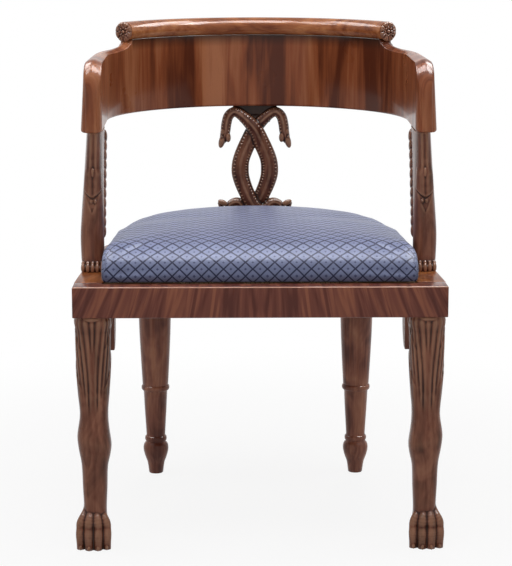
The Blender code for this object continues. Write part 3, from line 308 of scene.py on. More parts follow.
# %% [markdown]
# With such a vector the wood is three noises and a row of colours. A picture of wood would be quicker,
# but it would repeat and stretch on the carved pieces, and it could not change from piece to piece. The
# pores are also a fine relief, and the roughness varies a little where hands have rubbed the polish.

# %% Mahogany
def stretched_noise(tree, vector, scale, detail, distortion):
    spread = add_node(tree, "ShaderNodeMapping", {"Vector": vector, "Scale": scale}).outputs[0]
    return add_node(tree, "ShaderNodeTexNoise", {
        "Vector": spread, "Scale": 1.0, "Detail": detail, "Roughness": 0.6, "Distortion": distortion,
    }).outputs["Fac"]


def mahogany(name, grain, colours, figure_scale, figure_share, roughness, twist=1.6, leaves=None,
             polish=POLISH):
    """Polished mahogany; colours go from the dark figure to the light one.

    The leaves of a veneer are a function from the node tree to a number that is added to the tone.
    """
    material, tree, shader = new_finish(name)
    vector = grain(tree)
    streaks = stretched_noise(tree, vector, STREAK_SCALE, detail=6.0, distortion=0.5)
    figure = stretched_noise(tree, vector, figure_scale, detail=2.0, distortion=twist)
    pores = stretched_noise(tree, vector, PORE_SCALE, detail=2.0, distortion=0.0)
    fine = reckon(tree, "MULTIPLY", streaks, 1 - figure_share)
    tone = reckon(tree, "MULTIPLY_ADD", figure, figure_share, fine)
    if leaves:
        tone = reckon(tree, "ADD", tone, leaves(tree))
    base = colours_from(tree, tone, tuple(zip(TONE_STOPS, colours)))
    pore_share = add_node(tree, "ShaderNodeMapRange", {
        "Value": pores, "From Min": PORE_RANGE[0], "From Max": PORE_RANGE[1], "To Max": PORE_DARKNESS,
    }).outputs["Result"]
    colour = mix_colours(tree, pore_share, base, (*colours[0], 1))
    rubbed = stretched_noise(tree, vector, RUBBED_SCALE, detail=4.0, distortion=0.0)
    rough = add_node(tree, "ShaderNodeMapRange", {
        "Value": rubbed, "From Min": RUBBED_RANGE[0], "From Max": RUBBED_RANGE[1],
        "To Min": roughness + ROUGH_SPREAD[0], "To Max": roughness + ROUGH_SPREAD[1],
    }).outputs["Result"]
    relief = add_node(tree, "ShaderNodeBump", {
        "Strength": PORE_BUMP, "Distance": PORE_DEPTH, "Height": pore_share,
    }, invert=True)
    tree.links.new(colour, shader.inputs["Base Color"])
    tree.links.new(rough, shader.inputs["Roughness"])
    tree.links.new(relief.outputs[0], shader.inputs["Normal"])
    shader.inputs["Coat Weight"].default_value = polish
    shader.inputs["Coat Roughness"].default_value = COAT_ROUGHNESS
    shader.inputs["Specular IOR Level"].default_value = WOOD_SPECULAR
    return material


# %% [markdown]
# The veneer of the band is laid in leaves, cut one after the other from the same log. They meet in
# upright seams, and each is a little lighter or darker than the next. A row of greys along the run of
# the band gives that, and it is added to the tone of the wood.

# %% Veneer leaves
VENEER_REACH = 0.62
VENEER_LEAVES = (               # run along the band from the middle of the back, and lightness
    (-0.62, 0.49), (-0.58, 0.52), (-0.38, 0.58), (-0.30, 0.53), (-0.20, 0.50), (-0.160, 0.40),
    (-0.118, 0.36), (-0.098, 0.60), (-0.07, 0.55), (-0.02, 0.45), (0.03, 0.42), (0.043, 0.28),
    (0.058, 0.51), (0.105, 0.52), (0.13, 0.45), (0.30, 0.43), (0.38, 0.52), (0.58, 0.48), (0.62, 0.46),
)


def band_leaves(tree):
    """Lightness of the veneer leaves along the band, around 0."""
    run = add_node(tree, "ShaderNodeAttribute", attribute_name="run").outputs["Fac"]
    share = add_node(tree, "ShaderNodeMapRange", {
        "Value": run, "From Min": -VENEER_REACH, "From Max": VENEER_REACH,
    })
    stops = [((place / VENEER_REACH + 1) / 2, (light, light, light)) for place, light in VENEER_LEAVES]
    return reckon(tree, "SUBTRACT", colours_from(tree, share.outputs["Result"], stops), 0.5)


# %% [markdown]
# One function then makes the wood of each kind of piece, with its own colours, direction of grain and
# size of figure, so that they look like boards from different parts of the tree.

# %% Mahogany finishes
BAND_COLOURS = ((0.100, 0.022, 0.008), (0.270, 0.073, 0.026), (0.430, 0.158, 0.068))
RAIL_COLOURS = ((0.105, 0.024, 0.015), (0.195, 0.056, 0.035), (0.310, 0.103, 0.055))
SIDE_COLOURS = ((0.190, 0.050, 0.014), (0.340, 0.108, 0.031), (0.460, 0.170, 0.055))
TURNED_COLOURS = ((0.110, 0.030, 0.018), (0.260, 0.092, 0.056), (0.430, 0.182, 0.105))
CREST_COLOURS = ((0.190, 0.045, 0.014), (0.370, 0.120, 0.042), (0.540, 0.210, 0.078))

band_veneer = mahogany("band_veneer", grain_up_band, BAND_COLOURS,
                       figure_scale=(3, 15, 15), figure_share=0.62, roughness=0.30, twist=1.0,
                       leaves=band_leaves)
rail_wood = mahogany("rail_wood", grain_flame, RAIL_COLOURS,
                     figure_scale=(6, 21, 10), figure_share=0.86, roughness=0.30, twist=0.9)
back_rail_wood = mahogany("back_rail_wood", grain_x, RAIL_COLOURS,
                          figure_scale=(9, 13, 13), figure_share=0.60, roughness=0.30)
side_rail_wood = mahogany("side_rail_wood", grain_y, SIDE_COLOURS,
                          figure_scale=(9, 13, 13), figure_share=0.50, roughness=0.30)
crest_wood = mahogany("crest_wood", grain_x, CREST_COLOURS,
                      figure_scale=(6, 14, 14), figure_share=0.45, roughness=0.24)
turned_wood = mahogany("turned_wood", grain_z, TURNED_COLOURS,
                       figure_scale=(7, 16, 16), figure_share=0.50, roughness=0.30)
print("mahogany finishes:", len([item for item in bpy.data.materials if "wood" in item.name]))

# %% [markdown]
# Most pieces of this chair are sweeps: a section that changes on its way along a line. A flat grid of
# cells can become any sweep if each of its points is told where to go, so one helper makes a grid and
# moves its points by a function of two shares from 0 to 1. Where the two edges of the grid meet, merging
# doubles closes the seam, and the open ends are filled. Another helper turns the shape into a finished
# piece that rides on the frame and stands for its solid.

# %% Grid and piece helpers
SEAM = 0.00001


def bent_grid(columns, rows, place):
    shape = bmesh.new()
    bmesh.ops.create_grid(shape, x_segments=columns, y_segments=rows, size=0.5)
    for vert in shape.verts:
        vert.co = place(vert.co.x + 0.5, vert.co.y + 0.5)
    bmesh.ops.remove_doubles(shape, verts=shape.verts, dist=SEAM)
    return shape


def close_ends(shape):
    open_edges = [edge for edge in shape.edges if edge.is_boundary]
    bmesh.ops.holes_fill(shape, edges=open_edges, sides=0)
    bmesh.ops.recalc_face_normals(shape, faces=shape.faces)


def both_sides(right):
    """The shape for the right side of the chair, and its mirror image for the left."""
    left = right.copy()
    bmesh.ops.scale(left, vec=(-1, 1, 1), verts=left.verts)
    bmesh.ops.recalc_face_normals(left, faces=left.faces)
    return ("right", right), ("left", left)


def add_piece(name, shape, finish, body, nodes, sharp=40):
    mesh = bpy.data.meshes.new(name)
    shape.to_mesh(mesh)
    shape.free()
    mesh.materials.append(finish)
    mesh.shade_smooth()
    mesh.set_sharp_from_angle(angle=math.radians(sharp))
    piece = bpy.data.objects.new(name, mesh)
    bpy.context.scene.collection.objects.link(piece)
    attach(piece, body)
    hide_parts(*nodes)
    return piece


# %% [markdown]
# Carved and bent shapes need numbers that change without a kink. The first helper goes from 0 to 1 with
# a soft start and end. The second passes smoothly through rows of key numbers, as a spline does, so that
# a whole leg can be told by a dozen rows. The third picks a point of a closed outline.

# %% Smooth values
def ease(share):
    share = min(max(share, 0.0), 1.0)
    return share * share * (3 - 2 * share)


def between(keys, value):
    """Smooth row of values at a running value, through key rows that start with that value."""
    last = len(keys) - 1
    index = 0
    while index < last - 1 and value > keys[index + 1][0]:
        index += 1
    low, high = keys[index], keys[index + 1]
    span = high[0] - low[0]
    share = min(max((value - low[0]) / span, 0.0), 1.0)
    square, cube = share ** 2, share ** 3
    weights = (2 * cube - 3 * square + 1, cube - 2 * square + share, 3 * square - 2 * cube, cube - square)
    before, after = keys[max(index - 1, 0)], keys[min(index + 2, last)]
    row = []
    for column in range(1, len(low)):
        slope_low = (high[column] - before[column]) / (high[0] - before[0]) * span
        slope_high = (after[column] - low[column]) / (after[0] - low[0]) * span
        row.append(weights[0] * low[column] + weights[1] * slope_low
                   + weights[2] * high[column] + weights[3] * slope_high)
    return row


def at_share(loop, share):
    """Point of a closed loop at a share of its points."""
    return loop[round(share * len(loop)) % len(loop)]


# %% [markdown]
# The arms and the back form one horseshoe band of veneered wood. Seen from above it is straight along
# the arms and a half circle round the back. Its section is a tall bar: the lower edges are eased, the
# inner top edge is crisp, the top is slightly crowned, and the outer top edge is well rounded. Arms and
# back are swept from this one section, so they meet exactly at the joint, and each point stores its run
# along the band for the upright veneer.

# %% Band section
INNER_RADIUS = 0.2558
ARC_Y = 0.0071
ARM_FRONT_Y = -0.1706
ARM_LENGTH = ARC_Y - ARM_FRONT_Y
BAND_BOTTOM = 0.6684
SHOULDER_Z = 0.7770
ARM_CROWN = 0.010
FLAT_CROWN = 0.0004
CRISP_EDGE = 0.0012
LOWER_ROUND = 0.004
OUTER_RISE = 0.3                # height of the outer and inner top edges, as shares of the crown
INNER_RISE = 0.25
OUTER_ROUND = 0.22              # roundings, as shares of the width
CROWN_ROUND = 0.45
CROWN_PLACE = 0.9
ARM_WIDTH = 0.0352
BACK_WIDTH = 0.026
ARM_TAPER = 0.0057
CREST_HALF_ANGLE = math.radians(60.2)
GAP = 0.0003
ARC_STEPS = 10
FLAT_STEPS = 6


def rounded_outline(corners):
    """Closed outline through corners of (across, height, radius), each corner rounded."""
    arcs = []
    for index, (across, height, radius) in enumerate(corners):
        here = Vector((across, height))
        back = (Vector(corners[index - 1][:2]) - here).normalized()
        ahead = (Vector(corners[(index + 1) % len(corners)][:2]) - here).normalized()
        half = back.angle(ahead) / 2
        centre = here + (back + ahead).normalized() * radius / math.sin(half)
        start = here + back * radius / math.tan(half) - centre
        turn = (math.pi - 2 * half) * (1 if back.cross(ahead) < 0 else -1)
        arc = []
        for step in range(ARC_STEPS + 1):
            arc.append(centre + Matrix.Rotation(turn * step / ARC_STEPS, 2) @ start)
        arcs.append(arc)
    points = []
    for arc, following in zip(arcs, arcs[1:] + arcs[:1]):
        points += arc
        for step in range(1, FLAT_STEPS):
            points.append(arc[-1].lerp(following[0], step / FLAT_STEPS))
    return points


def band_width(run):
    whole = ARM_LENGTH + INNER_RADIUS * (math.pi / 2 - CREST_HALF_ANGLE)
    return ARM_WIDTH + (BACK_WIDTH - ARM_WIDTH) * ease(run / whole)


def arm_section(width, bottom, shoulder, half, crown, inner_round=CRISP_EDGE):
    """Section as (out from the inner face, height), narrowed to a share of its width."""
    middle = width / 2
    top_out = width - ARM_TAPER * crown / ARM_CROWN
    corners = (
        (0.0, bottom, LOWER_ROUND),
        (width, bottom, LOWER_ROUND),
        (top_out, shoulder + OUTER_RISE * crown, OUTER_ROUND * width),
        (middle * CROWN_PLACE, shoulder + crown, CROWN_ROUND * width),
        (0.0, shoulder + INNER_RISE * crown, inner_round),
    )
    return [Vector((middle + (point.x - middle) * half, point.y)) for point in rounded_outline(corners)]


section_points = len(arm_section(ARM_WIDTH, BAND_BOTTOM, SHOULDER_Z, 1.0, ARM_CROWN))
print("points round the arm's section:", section_points)

# %% [markdown]
# The front of each arm is rolled: seen from the side its top falls forward in a quarter round, and seen
# from above its upright edges are rounded too. It could be cut from a block and bevelled, but a sweep
# has a section at every station, so the sections near the front only have to become lower and narrower.
# The stations crowd together where the roll is steep. Below the roll two shallow grooves part a fine
# reed from each edge.

# %% Arms
NOSE_ROLL = 0.046               # how far back the roll begins
NOSE_DROP = 0.058
NOSE_DEPTH = 0.0176             # how far the rounded upright edges reach back
NOSE_SQUARENESS = 2.0
NOSE_FLAT = 0.0003
NOSE_STATIONS = 48
ARM_STATIONS = 20
NOSE_INNER_ROUND = 0.20         # share of the width
REED_PLACE = 0.56               # share of the half width at which the grooves beside the reeds lie
REED_WIDTH = 0.07
REED_DEPTH = 0.0014
REED_TOP = SHOULDER_Z - 0.012
REED_FADE = 0.016
REED_REACH = 0.006


def rounding(reach, drop, run):
    """Fall of a rounded edge at a distance behind the front."""
    share = max(0.0, 1 - run / reach)
    return drop * (1 - math.sqrt(1 - share ** 2))


def nose_half(run):
    """Share of the arm's width that is left at a distance behind its front."""
    away = max(0.0, 1 - run / NOSE_DEPTH)
    return (1 - away ** NOSE_SQUARENESS) ** (1 / NOSE_SQUARENESS)


def arm_station(share):
    """Distance from the front of the arm at a share of its stations."""
    step = share * (NOSE_STATIONS + ARM_STATIONS)
    if step <= NOSE_STATIONS:
        return NOSE_FLAT + (NOSE_ROLL - NOSE_FLAT) * (1 - math.cos(math.pi / 2 * step / NOSE_STATIONS))
    return NOSE_ROLL + (ARM_LENGTH - NOSE_ROLL) * (step - NOSE_STATIONS) / ARM_STATIONS


def arm_point(around, along):
    run = arm_station(along)
    bottom = BAND_BOTTOM + rounding(LOWER_ROUND, LOWER_ROUND, run)
    shoulder = SHOULDER_Z - rounding(NOSE_ROLL, NOSE_DROP, run)
    width = band_width(run)
    inner_round = CRISP_EDGE + (NOSE_INNER_ROUND * width - CRISP_EDGE) * ease(1 - run / NOSE_ROLL)
    section = arm_section(width, bottom, shoulder, nose_half(run), ARM_CROWN, inner_round)
    point = at_share(section, around)
    beside = abs(point.x / width * 2 - 1)
    below_roll = ease((REED_TOP - point.y) / REED_FADE) * ease((NOSE_DEPTH - run) / REED_REACH)
    quirk = REED_DEPTH * math.exp(-((beside - REED_PLACE) / REED_WIDTH) ** 2) * below_roll
    return Vector((INNER_RADIUS + point.x, ARM_FRONT_Y + run + quirk, point.y))


def mark_run(piece):
    """Store each point's run along the band, measured from the middle of the back."""
    runs = piece.data.attributes.new("run", "FLOAT", "POINT")
    for vert, store in zip(piece.data.vertices, runs.data):
        x, y, _ = vert.co
        if y < ARC_Y:
            in_front = ease((ARM_FRONT_Y + NOSE_DEPTH - y) / NOSE_DEPTH)
            across = (abs(x) - INNER_RADIUS) * in_front
            store.value = math.copysign(INNER_RADIUS * math.pi / 2 + ARC_Y - y + across, x)
        else:
            store.value = INNER_RADIUS * math.atan2(x, y - ARC_Y)


right_arm = bent_grid(section_points, NOSE_STATIONS + ARM_STATIONS, arm_point)
close_ends(right_arm)
for label, shape in both_sides(right_arm):
    arm = add_piece("veneered_arm_" + label, shape, band_veneer, "frame", ["arm_" + label])
    mark_run(arm)
print("arm length", round(ARM_LENGTH, 4))

# %% [markdown]
# Behind the arms the band turns round the sitter. Under the crest its top is flat, and at each end of
# the crest it falls in a hollow sweep down to the arm. The sweep is a quarter round, read from the angle
# round the back, so the panel needs no cutting. The points under the crest also store a number for the
# finish, which paints the shadow of the crest into that corner as dark wax.

# %% Back panel
COVE_ANGLE = math.radians(12.5)
CREST_Z = 0.8114
CREST_RADIUS = 0.2711
CREST_DIAMETER = 0.0348
CREST_FLAT_Z = 0.7988
ROSETTE_DEPTH = 0.0065
ROSETTE_DIAMETER = 0.0350
FLAT_END_ANGLE = CREST_HALF_ANGLE - (ROSETTE_DEPTH + 2 * GAP) / CREST_RADIUS
PANEL_STATIONS = 180
CREST_SHADOW_HEIGHT = 0.0022            # height of the painted shadow under the crest
CREST_SHADOW_HOLLOW = 0.4


def on_arc(radius, angle):
    """Plan point at an angle from the middle of the back, positive to the right."""
    return radius * math.sin(angle), ARC_Y + radius * math.cos(angle)


def panel_heights(angle):
    """Shoulder and crown of the panel at an angle from the middle."""
    away = abs(angle)
    if away <= FLAT_END_ANGLE:
        return CREST_FLAT_Z - GAP, 0.0
    cove_top = CREST_Z - ROSETTE_DIAMETER / 2 - 2 * GAP - ARM_CROWN / 2
    share = min(max((CREST_HALF_ANGLE + COVE_ANGLE - away) / COVE_ANGLE, 0.0), 1.0)
    lift = 1 - math.sqrt(1 - share ** 2)
    return SHOULDER_Z + (cove_top - SHOULDER_Z) * lift, ARM_CROWN * (1 - 0.5 * lift)


def panel_point(around, along):
    angle = math.pi * (along - 0.5)
    shoulder, crown = panel_heights(angle)
    width = band_width(ARM_LENGTH + INNER_RADIUS * (math.pi / 2 - abs(angle)))
    section = arm_section(width, BAND_BOTTOM, shoulder, 1.0, max(crown, FLAT_CROWN))
    point = at_share(section, around)
    return Vector((*on_arc(INNER_RADIUS + point.x, angle), point.y))


panel_shape = bent_grid(section_points, PANEL_STATIONS, panel_point)
close_ends(panel_shape)
panel = add_piece("veneered_back", panel_shape, band_veneer, "frame", ["back_panel"])
mark_run(panel)
# Painted shadow: the points just under the crest are marked as hollow, so that the finish darkens them.
crest_shadow = panel.data.attributes.new("hollow", "FLOAT", "POINT")
for vert, store in zip(panel.data.vertices, crest_shadow.data):
    store.value = CREST_SHADOW_HOLLOW * (vert.co.z > CREST_FLAT_Z - CREST_SHADOW_HEIGHT)
print("back panel faces", len(panel.data.polygons))

# %% [markdown]
# The crest is a round roll that lies on the back like a bolster. It is a circle with a flat below, swept
# round the same centre as the band. A curve with a round bevel would be quicker, but it would have no
# flat to lie on.

# %% Crest roll
CREST_FLAT = 0.024
CREST_SIDES = 48
CREST_STATIONS = 120


def crest_point(around, along):
    open_half = math.asin(CREST_FLAT / CREST_DIAMETER)
    turn = -math.pi / 2 + open_half + (2 * math.pi - 2 * open_half) * around * CREST_SIDES / (CREST_SIDES - 1)
    if around > 1 - 0.5 / CREST_SIDES:
        turn = -math.pi / 2 + open_half
    out = CREST_DIAMETER / 2 * math.cos(turn)
    up = CREST_DIAMETER / 2 * math.sin(turn)
    end = CREST_HALF_ANGLE - (ROSETTE_DEPTH + GAP) / CREST_RADIUS
    return Vector((*on_arc(CREST_RADIUS + out, end * (2 * along - 1)), CREST_Z + up))


crest_shape = bent_grid(CREST_SIDES, CREST_STATIONS, crest_point)
close_ends(crest_shape)
add_piece("crest_roll", crest_shape, crest_wood, "frame", ["crest_rail"])
print("crest stations", CREST_STATIONS)

# %% [markdown]
# A rosette closes each end of the crest. It is a small carved disc: eight petals with a vein down the
# middle of each, a ring of shorter petals between them, and a boss. A round grid from the rim to the
# middle is lifted by a height that depends on the angle and on the distance from the middle, the way a
# carver would lower the ground between petals.

# %% Rosettes
PETALS = 8
ROSETTE_COLUMNS = 192
ROSETTE_ROWS = 48
BOSS_SHARE = 0.20
BOSS_HEIGHT = 1.25
VEIN_DEPTH = 0.30
VEIN_WIDTH = 0.07
OUTER_PETAL = (0.70, 0.42)      # middle and reach of the petals, as shares of the radius
INNER_PETAL = (0.40, 0.18)
GROUND_HEIGHT = 0.08
PETAL_BASE = 0.25
PETAL_ROUNDNESS = (0.7, 0.8)    # of the outer and the inner petals
PETAL_LEVEL = (0.85, 0.8)
RIM_SHARE = 0.1                 # share of the rows that climb the rim
RIM_HEIGHT = 0.30               # rim and carving, as shares of the depth
CARVING_HEIGHT = 0.56
SCALLOP = 0.05
SCALLOP_SHARPNESS = 0.5
RIM_REACH = 0.95
CARVING_RISE = 8                # how fast the carving rises inside the rim


def petal_height(reach, turn):
    """Height of the carving, from 0 to 1, at a share of the radius and an angle."""
    place = (turn * PETALS / (2 * math.pi)) % 1.0
    ridge = abs(math.sin(math.pi * place)) ** PETAL_ROUNDNESS[0]
    vein = VEIN_DEPTH * math.exp(-((place - 0.5) / VEIN_WIDTH) ** 2)
    raised = PETAL_BASE + (1 - PETAL_BASE) * ridge - vein
    outer = raised * (1 - ((reach - OUTER_PETAL[0]) / OUTER_PETAL[1]) ** 2)
    inner_place = (place + 0.5) % 1.0
    inner_ridge = abs(math.sin(math.pi * inner_place)) ** PETAL_ROUNDNESS[1]
    inner = inner_ridge * (1 - ((reach - INNER_PETAL[0]) / INNER_PETAL[1]) ** 2)
    boss = BOSS_HEIGHT * math.sqrt(max(0.0, 1 - (reach / BOSS_SHARE) ** 2))
    return max(outer * PETAL_LEVEL[0], inner * PETAL_LEVEL[1], boss, GROUND_HEIGHT)


def rosette_shape(side):
    end = side * (CREST_HALF_ANGLE - ROSETTE_DEPTH / CREST_RADIUS)
    middle = Vector((*on_arc(CREST_RADIUS, end), CREST_Z))
    outward = Vector((math.cos(end), -math.sin(end), 0)) * side
    across = Vector((outward.y, -outward.x, 0))

    def place(around, inward):
        turn = 2 * math.pi * around
        scallop = SCALLOP * (1 - abs(math.sin(PETALS * turn / 2)) ** SCALLOP_SHARPNESS)
        if inward < RIM_SHARE:
            reach, height = RIM_REACH - scallop, inward / RIM_SHARE * RIM_HEIGHT
        else:
            share = (inward - RIM_SHARE) / (1 - RIM_SHARE)
            reach = (1 - scallop) * (1 - share)
            risen = min(1.0, share * CARVING_RISE)
            height = RIM_HEIGHT + CARVING_HEIGHT * petal_height(reach, turn) * risen
        flat = across * math.cos(turn) + Vector((0, 0, math.sin(turn)))
        return middle + flat * ROSETTE_DIAMETER / 2 * reach + outward * ROSETTE_DEPTH * height
    return bent_grid(ROSETTE_COLUMNS, ROSETTE_ROWS, place)


# %% [markdown]
# Carved wood needs a few more helpers. One melts overlapping closed shapes into one skin: a voxel remesh
# fills them with small cubes and draws a new surface round the heap, as if they had been cut from one
# block. Another measures how hollow the surface is at each point, by comparing it with a smoothed copy
# of itself. The finish uses that number: the hollows are darkened, as old wax and as painted shade, and
# the ridges are lightened, as rubbed wood and as painted highlights.

# %% Carving helpers
MM_PER_METRE = 1000


def voxel_object(mesh, voxel):
    """Object in the scene that is drawn as a skin round small cubes."""
    rough = bpy.data.objects.new(mesh.name, mesh)
    bpy.context.scene.collection.objects.link(rough)
    skin = rough.modifiers.new("skin", "REMESH")
    skin.mode = "VOXEL"
    skin.voxel_size = voxel
    return rough


def melt(shapes, voxel, smoothing):
    mesh = bpy.data.meshes.new("rough_carving")
    heap = bmesh.new()
    for shape in shapes:
        bmesh.ops.recalc_face_normals(shape, faces=shape.faces)
        shape.to_mesh(mesh)
        shape.free()
        heap.from_mesh(mesh)
    heap.to_mesh(mesh)
    heap.free()
    rough = voxel_object(mesh, voxel)
    melted = bmesh.new()
    melted.from_object(rough, bpy.context.evaluated_depsgraph_get())
    bpy.data.objects.remove(rough)
    for _ in range(smoothing):
        bmesh.ops.smooth_vert(melted, verts=melted.verts, factor=0.5,
                              use_axis_x=True, use_axis_y=True, use_axis_z=True)
    return melted


def cut_flat(shape, height, keep_above):
    """Cut the shape level at a height and close the cut."""
    geometry = shape.verts[:] + shape.edges[:] + shape.faces[:]
    bmesh.ops.bisect_plane(shape, geom=geometry, plane_co=(0, 0, height), plane_no=(0, 0, 1),
                           clear_inner=keep_above, clear_outer=not keep_above)
    close_ends(shape)


def mesh_points(mesh):
    places = np.empty(len(mesh.vertices) * 3)
    mesh.vertices.foreach_get("co", places)
    return places.reshape(-1, 3)


def mark_hollows(piece, passes=14):
    """Store how far each point lies below its smoothed surroundings, in millimetres."""
    mesh = piece.data
    places = mesh_points(mesh)
    count = len(places)
    normals = np.empty(count * 3)
    mesh.vertex_normals.foreach_get("vector", normals)
    normals = normals.reshape(-1, 3)
    ends = np.empty(len(mesh.edges) * 2, dtype=int)
    mesh.edges.foreach_get("vertices", ends)
    ends = ends.reshape(-1, 2)
    meetings = np.bincount(ends.ravel(), minlength=count)[:, None]
    smoothed = places.copy()
    for _ in range(passes):
        total = np.zeros_like(smoothed)
        np.add.at(total, ends[:, 0], smoothed[ends[:, 1]])
        np.add.at(total, ends[:, 1], smoothed[ends[:, 0]])
        smoothed = total / meetings
    hollow = ((smoothed - places) * normals).sum(axis=1) * MM_PER_METRE
    store = mesh.attributes.new("hollow", "FLOAT", "POINT")
    store.data.foreach_set("value", hollow.astype(np.float32))
    return hollow


# %% [markdown]
# The carved pieces are of the same mahogany, cut across the grain, so they take the polish less well and
# look darker. The stored hollow drives the wear and the painted light: a Map Range node turns it into a
# share of dark wax, which also paints shade into the hollows, or of rubbed wood, which also paints
# highlights on the ridges and on the small bars of the scales, and this is mixed into the plain colour.
# The same mix paints a highlight line along the top front edge of the front rail and the shadow in the
# corner under the crest.

# %% Carved mahogany
CARVED_COLOURS = ((0.080, 0.024, 0.013), (0.195, 0.066, 0.038), (0.320, 0.130, 0.076))
SERPENT_COLOURS = ((0.045, 0.013, 0.008), (0.115, 0.038, 0.021), (0.215, 0.086, 0.047))
WAX_AND_SHADE_COLOUR = (0.010, 0.005, 0.003)
RUBBED_AND_HIGHLIGHT_COLOUR = (0.400, 0.210, 0.125)
EDGE_RUB_AND_HIGHLIGHT_COLOUR = (0.620, 0.330, 0.230)
WAX_AND_SHADE_RANGE = (0.03, 0.40)        # hollow in millimetres at which wax and painted shade begin and are full
# hollow at which rubbed wood and painted highlights begin and are full
RUB_AND_HIGHLIGHT_RANGE = (-0.05, -0.45)
CARVED_POLISH = 0.22
ROSETTE_PASSES = 30


def add_wear_and_painted_light(material, wax_and_shade, rub_and_highlight, rubbed_and_highlight_colour):
    """Dark wax and painted shade in the hollows, and rubbed ridges with painted highlights, from the stored
    hollow.
    """
    tree = material.node_tree
    shader = tree.nodes["Principled BSDF"]
    plain_colour = shader.inputs["Base Color"].links[0].from_socket
    hollow = add_node(tree, "ShaderNodeAttribute", attribute_name="hollow").outputs["Fac"]
    wax_and_shade_share = add_node(tree, "ShaderNodeMapRange", {
        "Value": hollow, "From Min": WAX_AND_SHADE_RANGE[0], "From Max": WAX_AND_SHADE_RANGE[1], "To Max": wax_and_shade,
    }).outputs["Result"]
    rub_and_highlight_share = add_node(tree, "ShaderNodeMapRange", {
        "Value": hollow, "From Min": RUB_AND_HIGHLIGHT_RANGE[0], "From Max": RUB_AND_HIGHLIGHT_RANGE[1], "To Max": rub_and_highlight,
    }).outputs["Result"]
    rubbed = mix_colours(tree, rub_and_highlight_share, plain_colour, (*rubbed_and_highlight_colour, 1))
    waxed_and_shaded = mix_colours(tree, wax_and_shade_share, rubbed, (*WAX_AND_SHADE_COLOUR, 1))
    tree.links.new(waxed_and_shaded, shader.inputs["Base Color"])


carved_wood = mahogany("carved_wood", grain_z, CARVED_COLOURS,
                       figure_scale=(10, 24, 24), figure_share=0.5, roughness=0.27, polish=CARVED_POLISH)
serpent_wood = mahogany("serpent_wood", grain_z, SERPENT_COLOURS,
                        figure_scale=(10, 24, 24), figure_share=0.5, roughness=0.25)
# The carved pieces get wax with painted shade in their hollows and rubbed wood with painted highlights on
# their ridges.
add_wear_and_painted_light(carved_wood, wax_and_shade=0.80, rub_and_highlight=0.60, rubbed_and_highlight_colour=RUBBED_AND_HIGHLIGHT_COLOUR)
add_wear_and_painted_light(serpent_wood, wax_and_shade=0.85, rub_and_highlight=0.70, rubbed_and_highlight_colour=RUBBED_AND_HIGHLIGHT_COLOUR)
# On the front rail the rubbing paints a highlight line on the worn top front edge.
add_wear_and_painted_light(rail_wood, wax_and_shade=0.0, rub_and_highlight=0.85, rubbed_and_highlight_colour=EDGE_RUB_AND_HIGHLIGHT_COLOUR)
# On the band the wax paints the shadow under the crest.
add_wear_and_painted_light(band_veneer, wax_and_shade=0.85, rub_and_highlight=0.0, rubbed_and_highlight_colour=EDGE_RUB_AND_HIGHLIGHT_COLOUR)

# %% [markdown]
# The rosettes are the first pieces with the carved finish. Each has its own place and direction at the
# end of the crest, so both are made from their function instead of one being mirrored.

# %% Rosette pieces
for label, side in (("right", 1), ("left", -1)):
    shape = rosette_shape(side)
    close_ends(shape)
    rosette = add_piece("petal_rosette_" + label, shape, carved_wood, "frame", ["rosette_" + label])
    mark_hollows(rosette, ROSETTE_PASSES)
print("rosette petals", PETALS)

# %% [markdown]
# The seat rails are straight or gently bent bars with a rebate that carries the seat. Their solids
# already have the right shape, and so have the brackets behind the front legs, so each piece starts as a
# copy of its solid: doubles are merged, flat triangles are joined back into plain faces, and the long
# edges get a small round, because no cabinet maker leaves an edge sharp and because a rounded edge is
# what catches the light.

# %% Rails and brackets
FRONT_Y = -0.2926
SEAT_HEIGHT = 0.437
RAIL_ROUND = 0.0018
LONG_EDGE = 0.012
JOINT_REACH = 0.001
BRACKET_ROUND = 0.002
FLAT_ANGLE = math.radians(1.5)  # triangles that differ by less are one plain face
EDGE_ANGLE = math.radians(40)   # edges that turn by more are eased
ROUND_SEGMENTS = 3
EDGE_RUB_AND_HIGHLIGHT = -1.0
RAILS = (
    "front_rail", "side_rail_left", "side_rail_right",
    "back_rail_left", "back_rail_centre", "back_rail_right",
)


def skin_of(node):
    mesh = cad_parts[node].data
    places = [vert.co for vert in mesh.vertices]
    return BVHTree.FromPolygons(places, [face.vertices[:] for face in mesh.polygons])


rail_skins = {node: skin_of(node) for node in RAILS}


def at_joint(node, point):
    """Whether a point of one rail lies against another rail."""
    for other, skin in rail_skins.items():
        if other != node and skin.find_nearest(point)[3] < JOINT_REACH:
            return True
    return False


def eased_copy(node, width):
    shape = bmesh.new()
    shape.from_mesh(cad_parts[node].data)
    bmesh.ops.remove_doubles(shape, verts=shape.verts, dist=SEAM)
    bmesh.ops.dissolve_limit(shape, angle_limit=FLAT_ANGLE, verts=shape.verts, edges=shape.edges)
    worn_and_highlit = shape.faces.layers.float.new("hollow")
    edges = []
    for edge in shape.edges:
        middle = (edge.verts[0].co + edge.verts[1].co) / 2
        long_enough = edge.is_manifold and edge.calc_length() > LONG_EDGE
        if long_enough and edge.calc_face_angle() > EDGE_ANGLE and not at_joint(node, middle):
            edges.append(edge)
    made = bmesh.ops.bevel(shape, geom=edges, offset=width, offset_type="OFFSET",
                           segments=ROUND_SEGMENTS, profile=0.5, affect="EDGES", material=-1,
                           clamp_overlap=True)
    # The bevel along the top front edge is marked as rubbed: worn wood with a painted highlight line.
    for face in made["faces"]:
        middle = face.calc_center_median()
        if middle.z > SEAT_HEIGHT - width and middle.y < FRONT_Y + width:
            face[worn_and_highlit] = EDGE_RUB_AND_HIGHLIGHT
    return shape


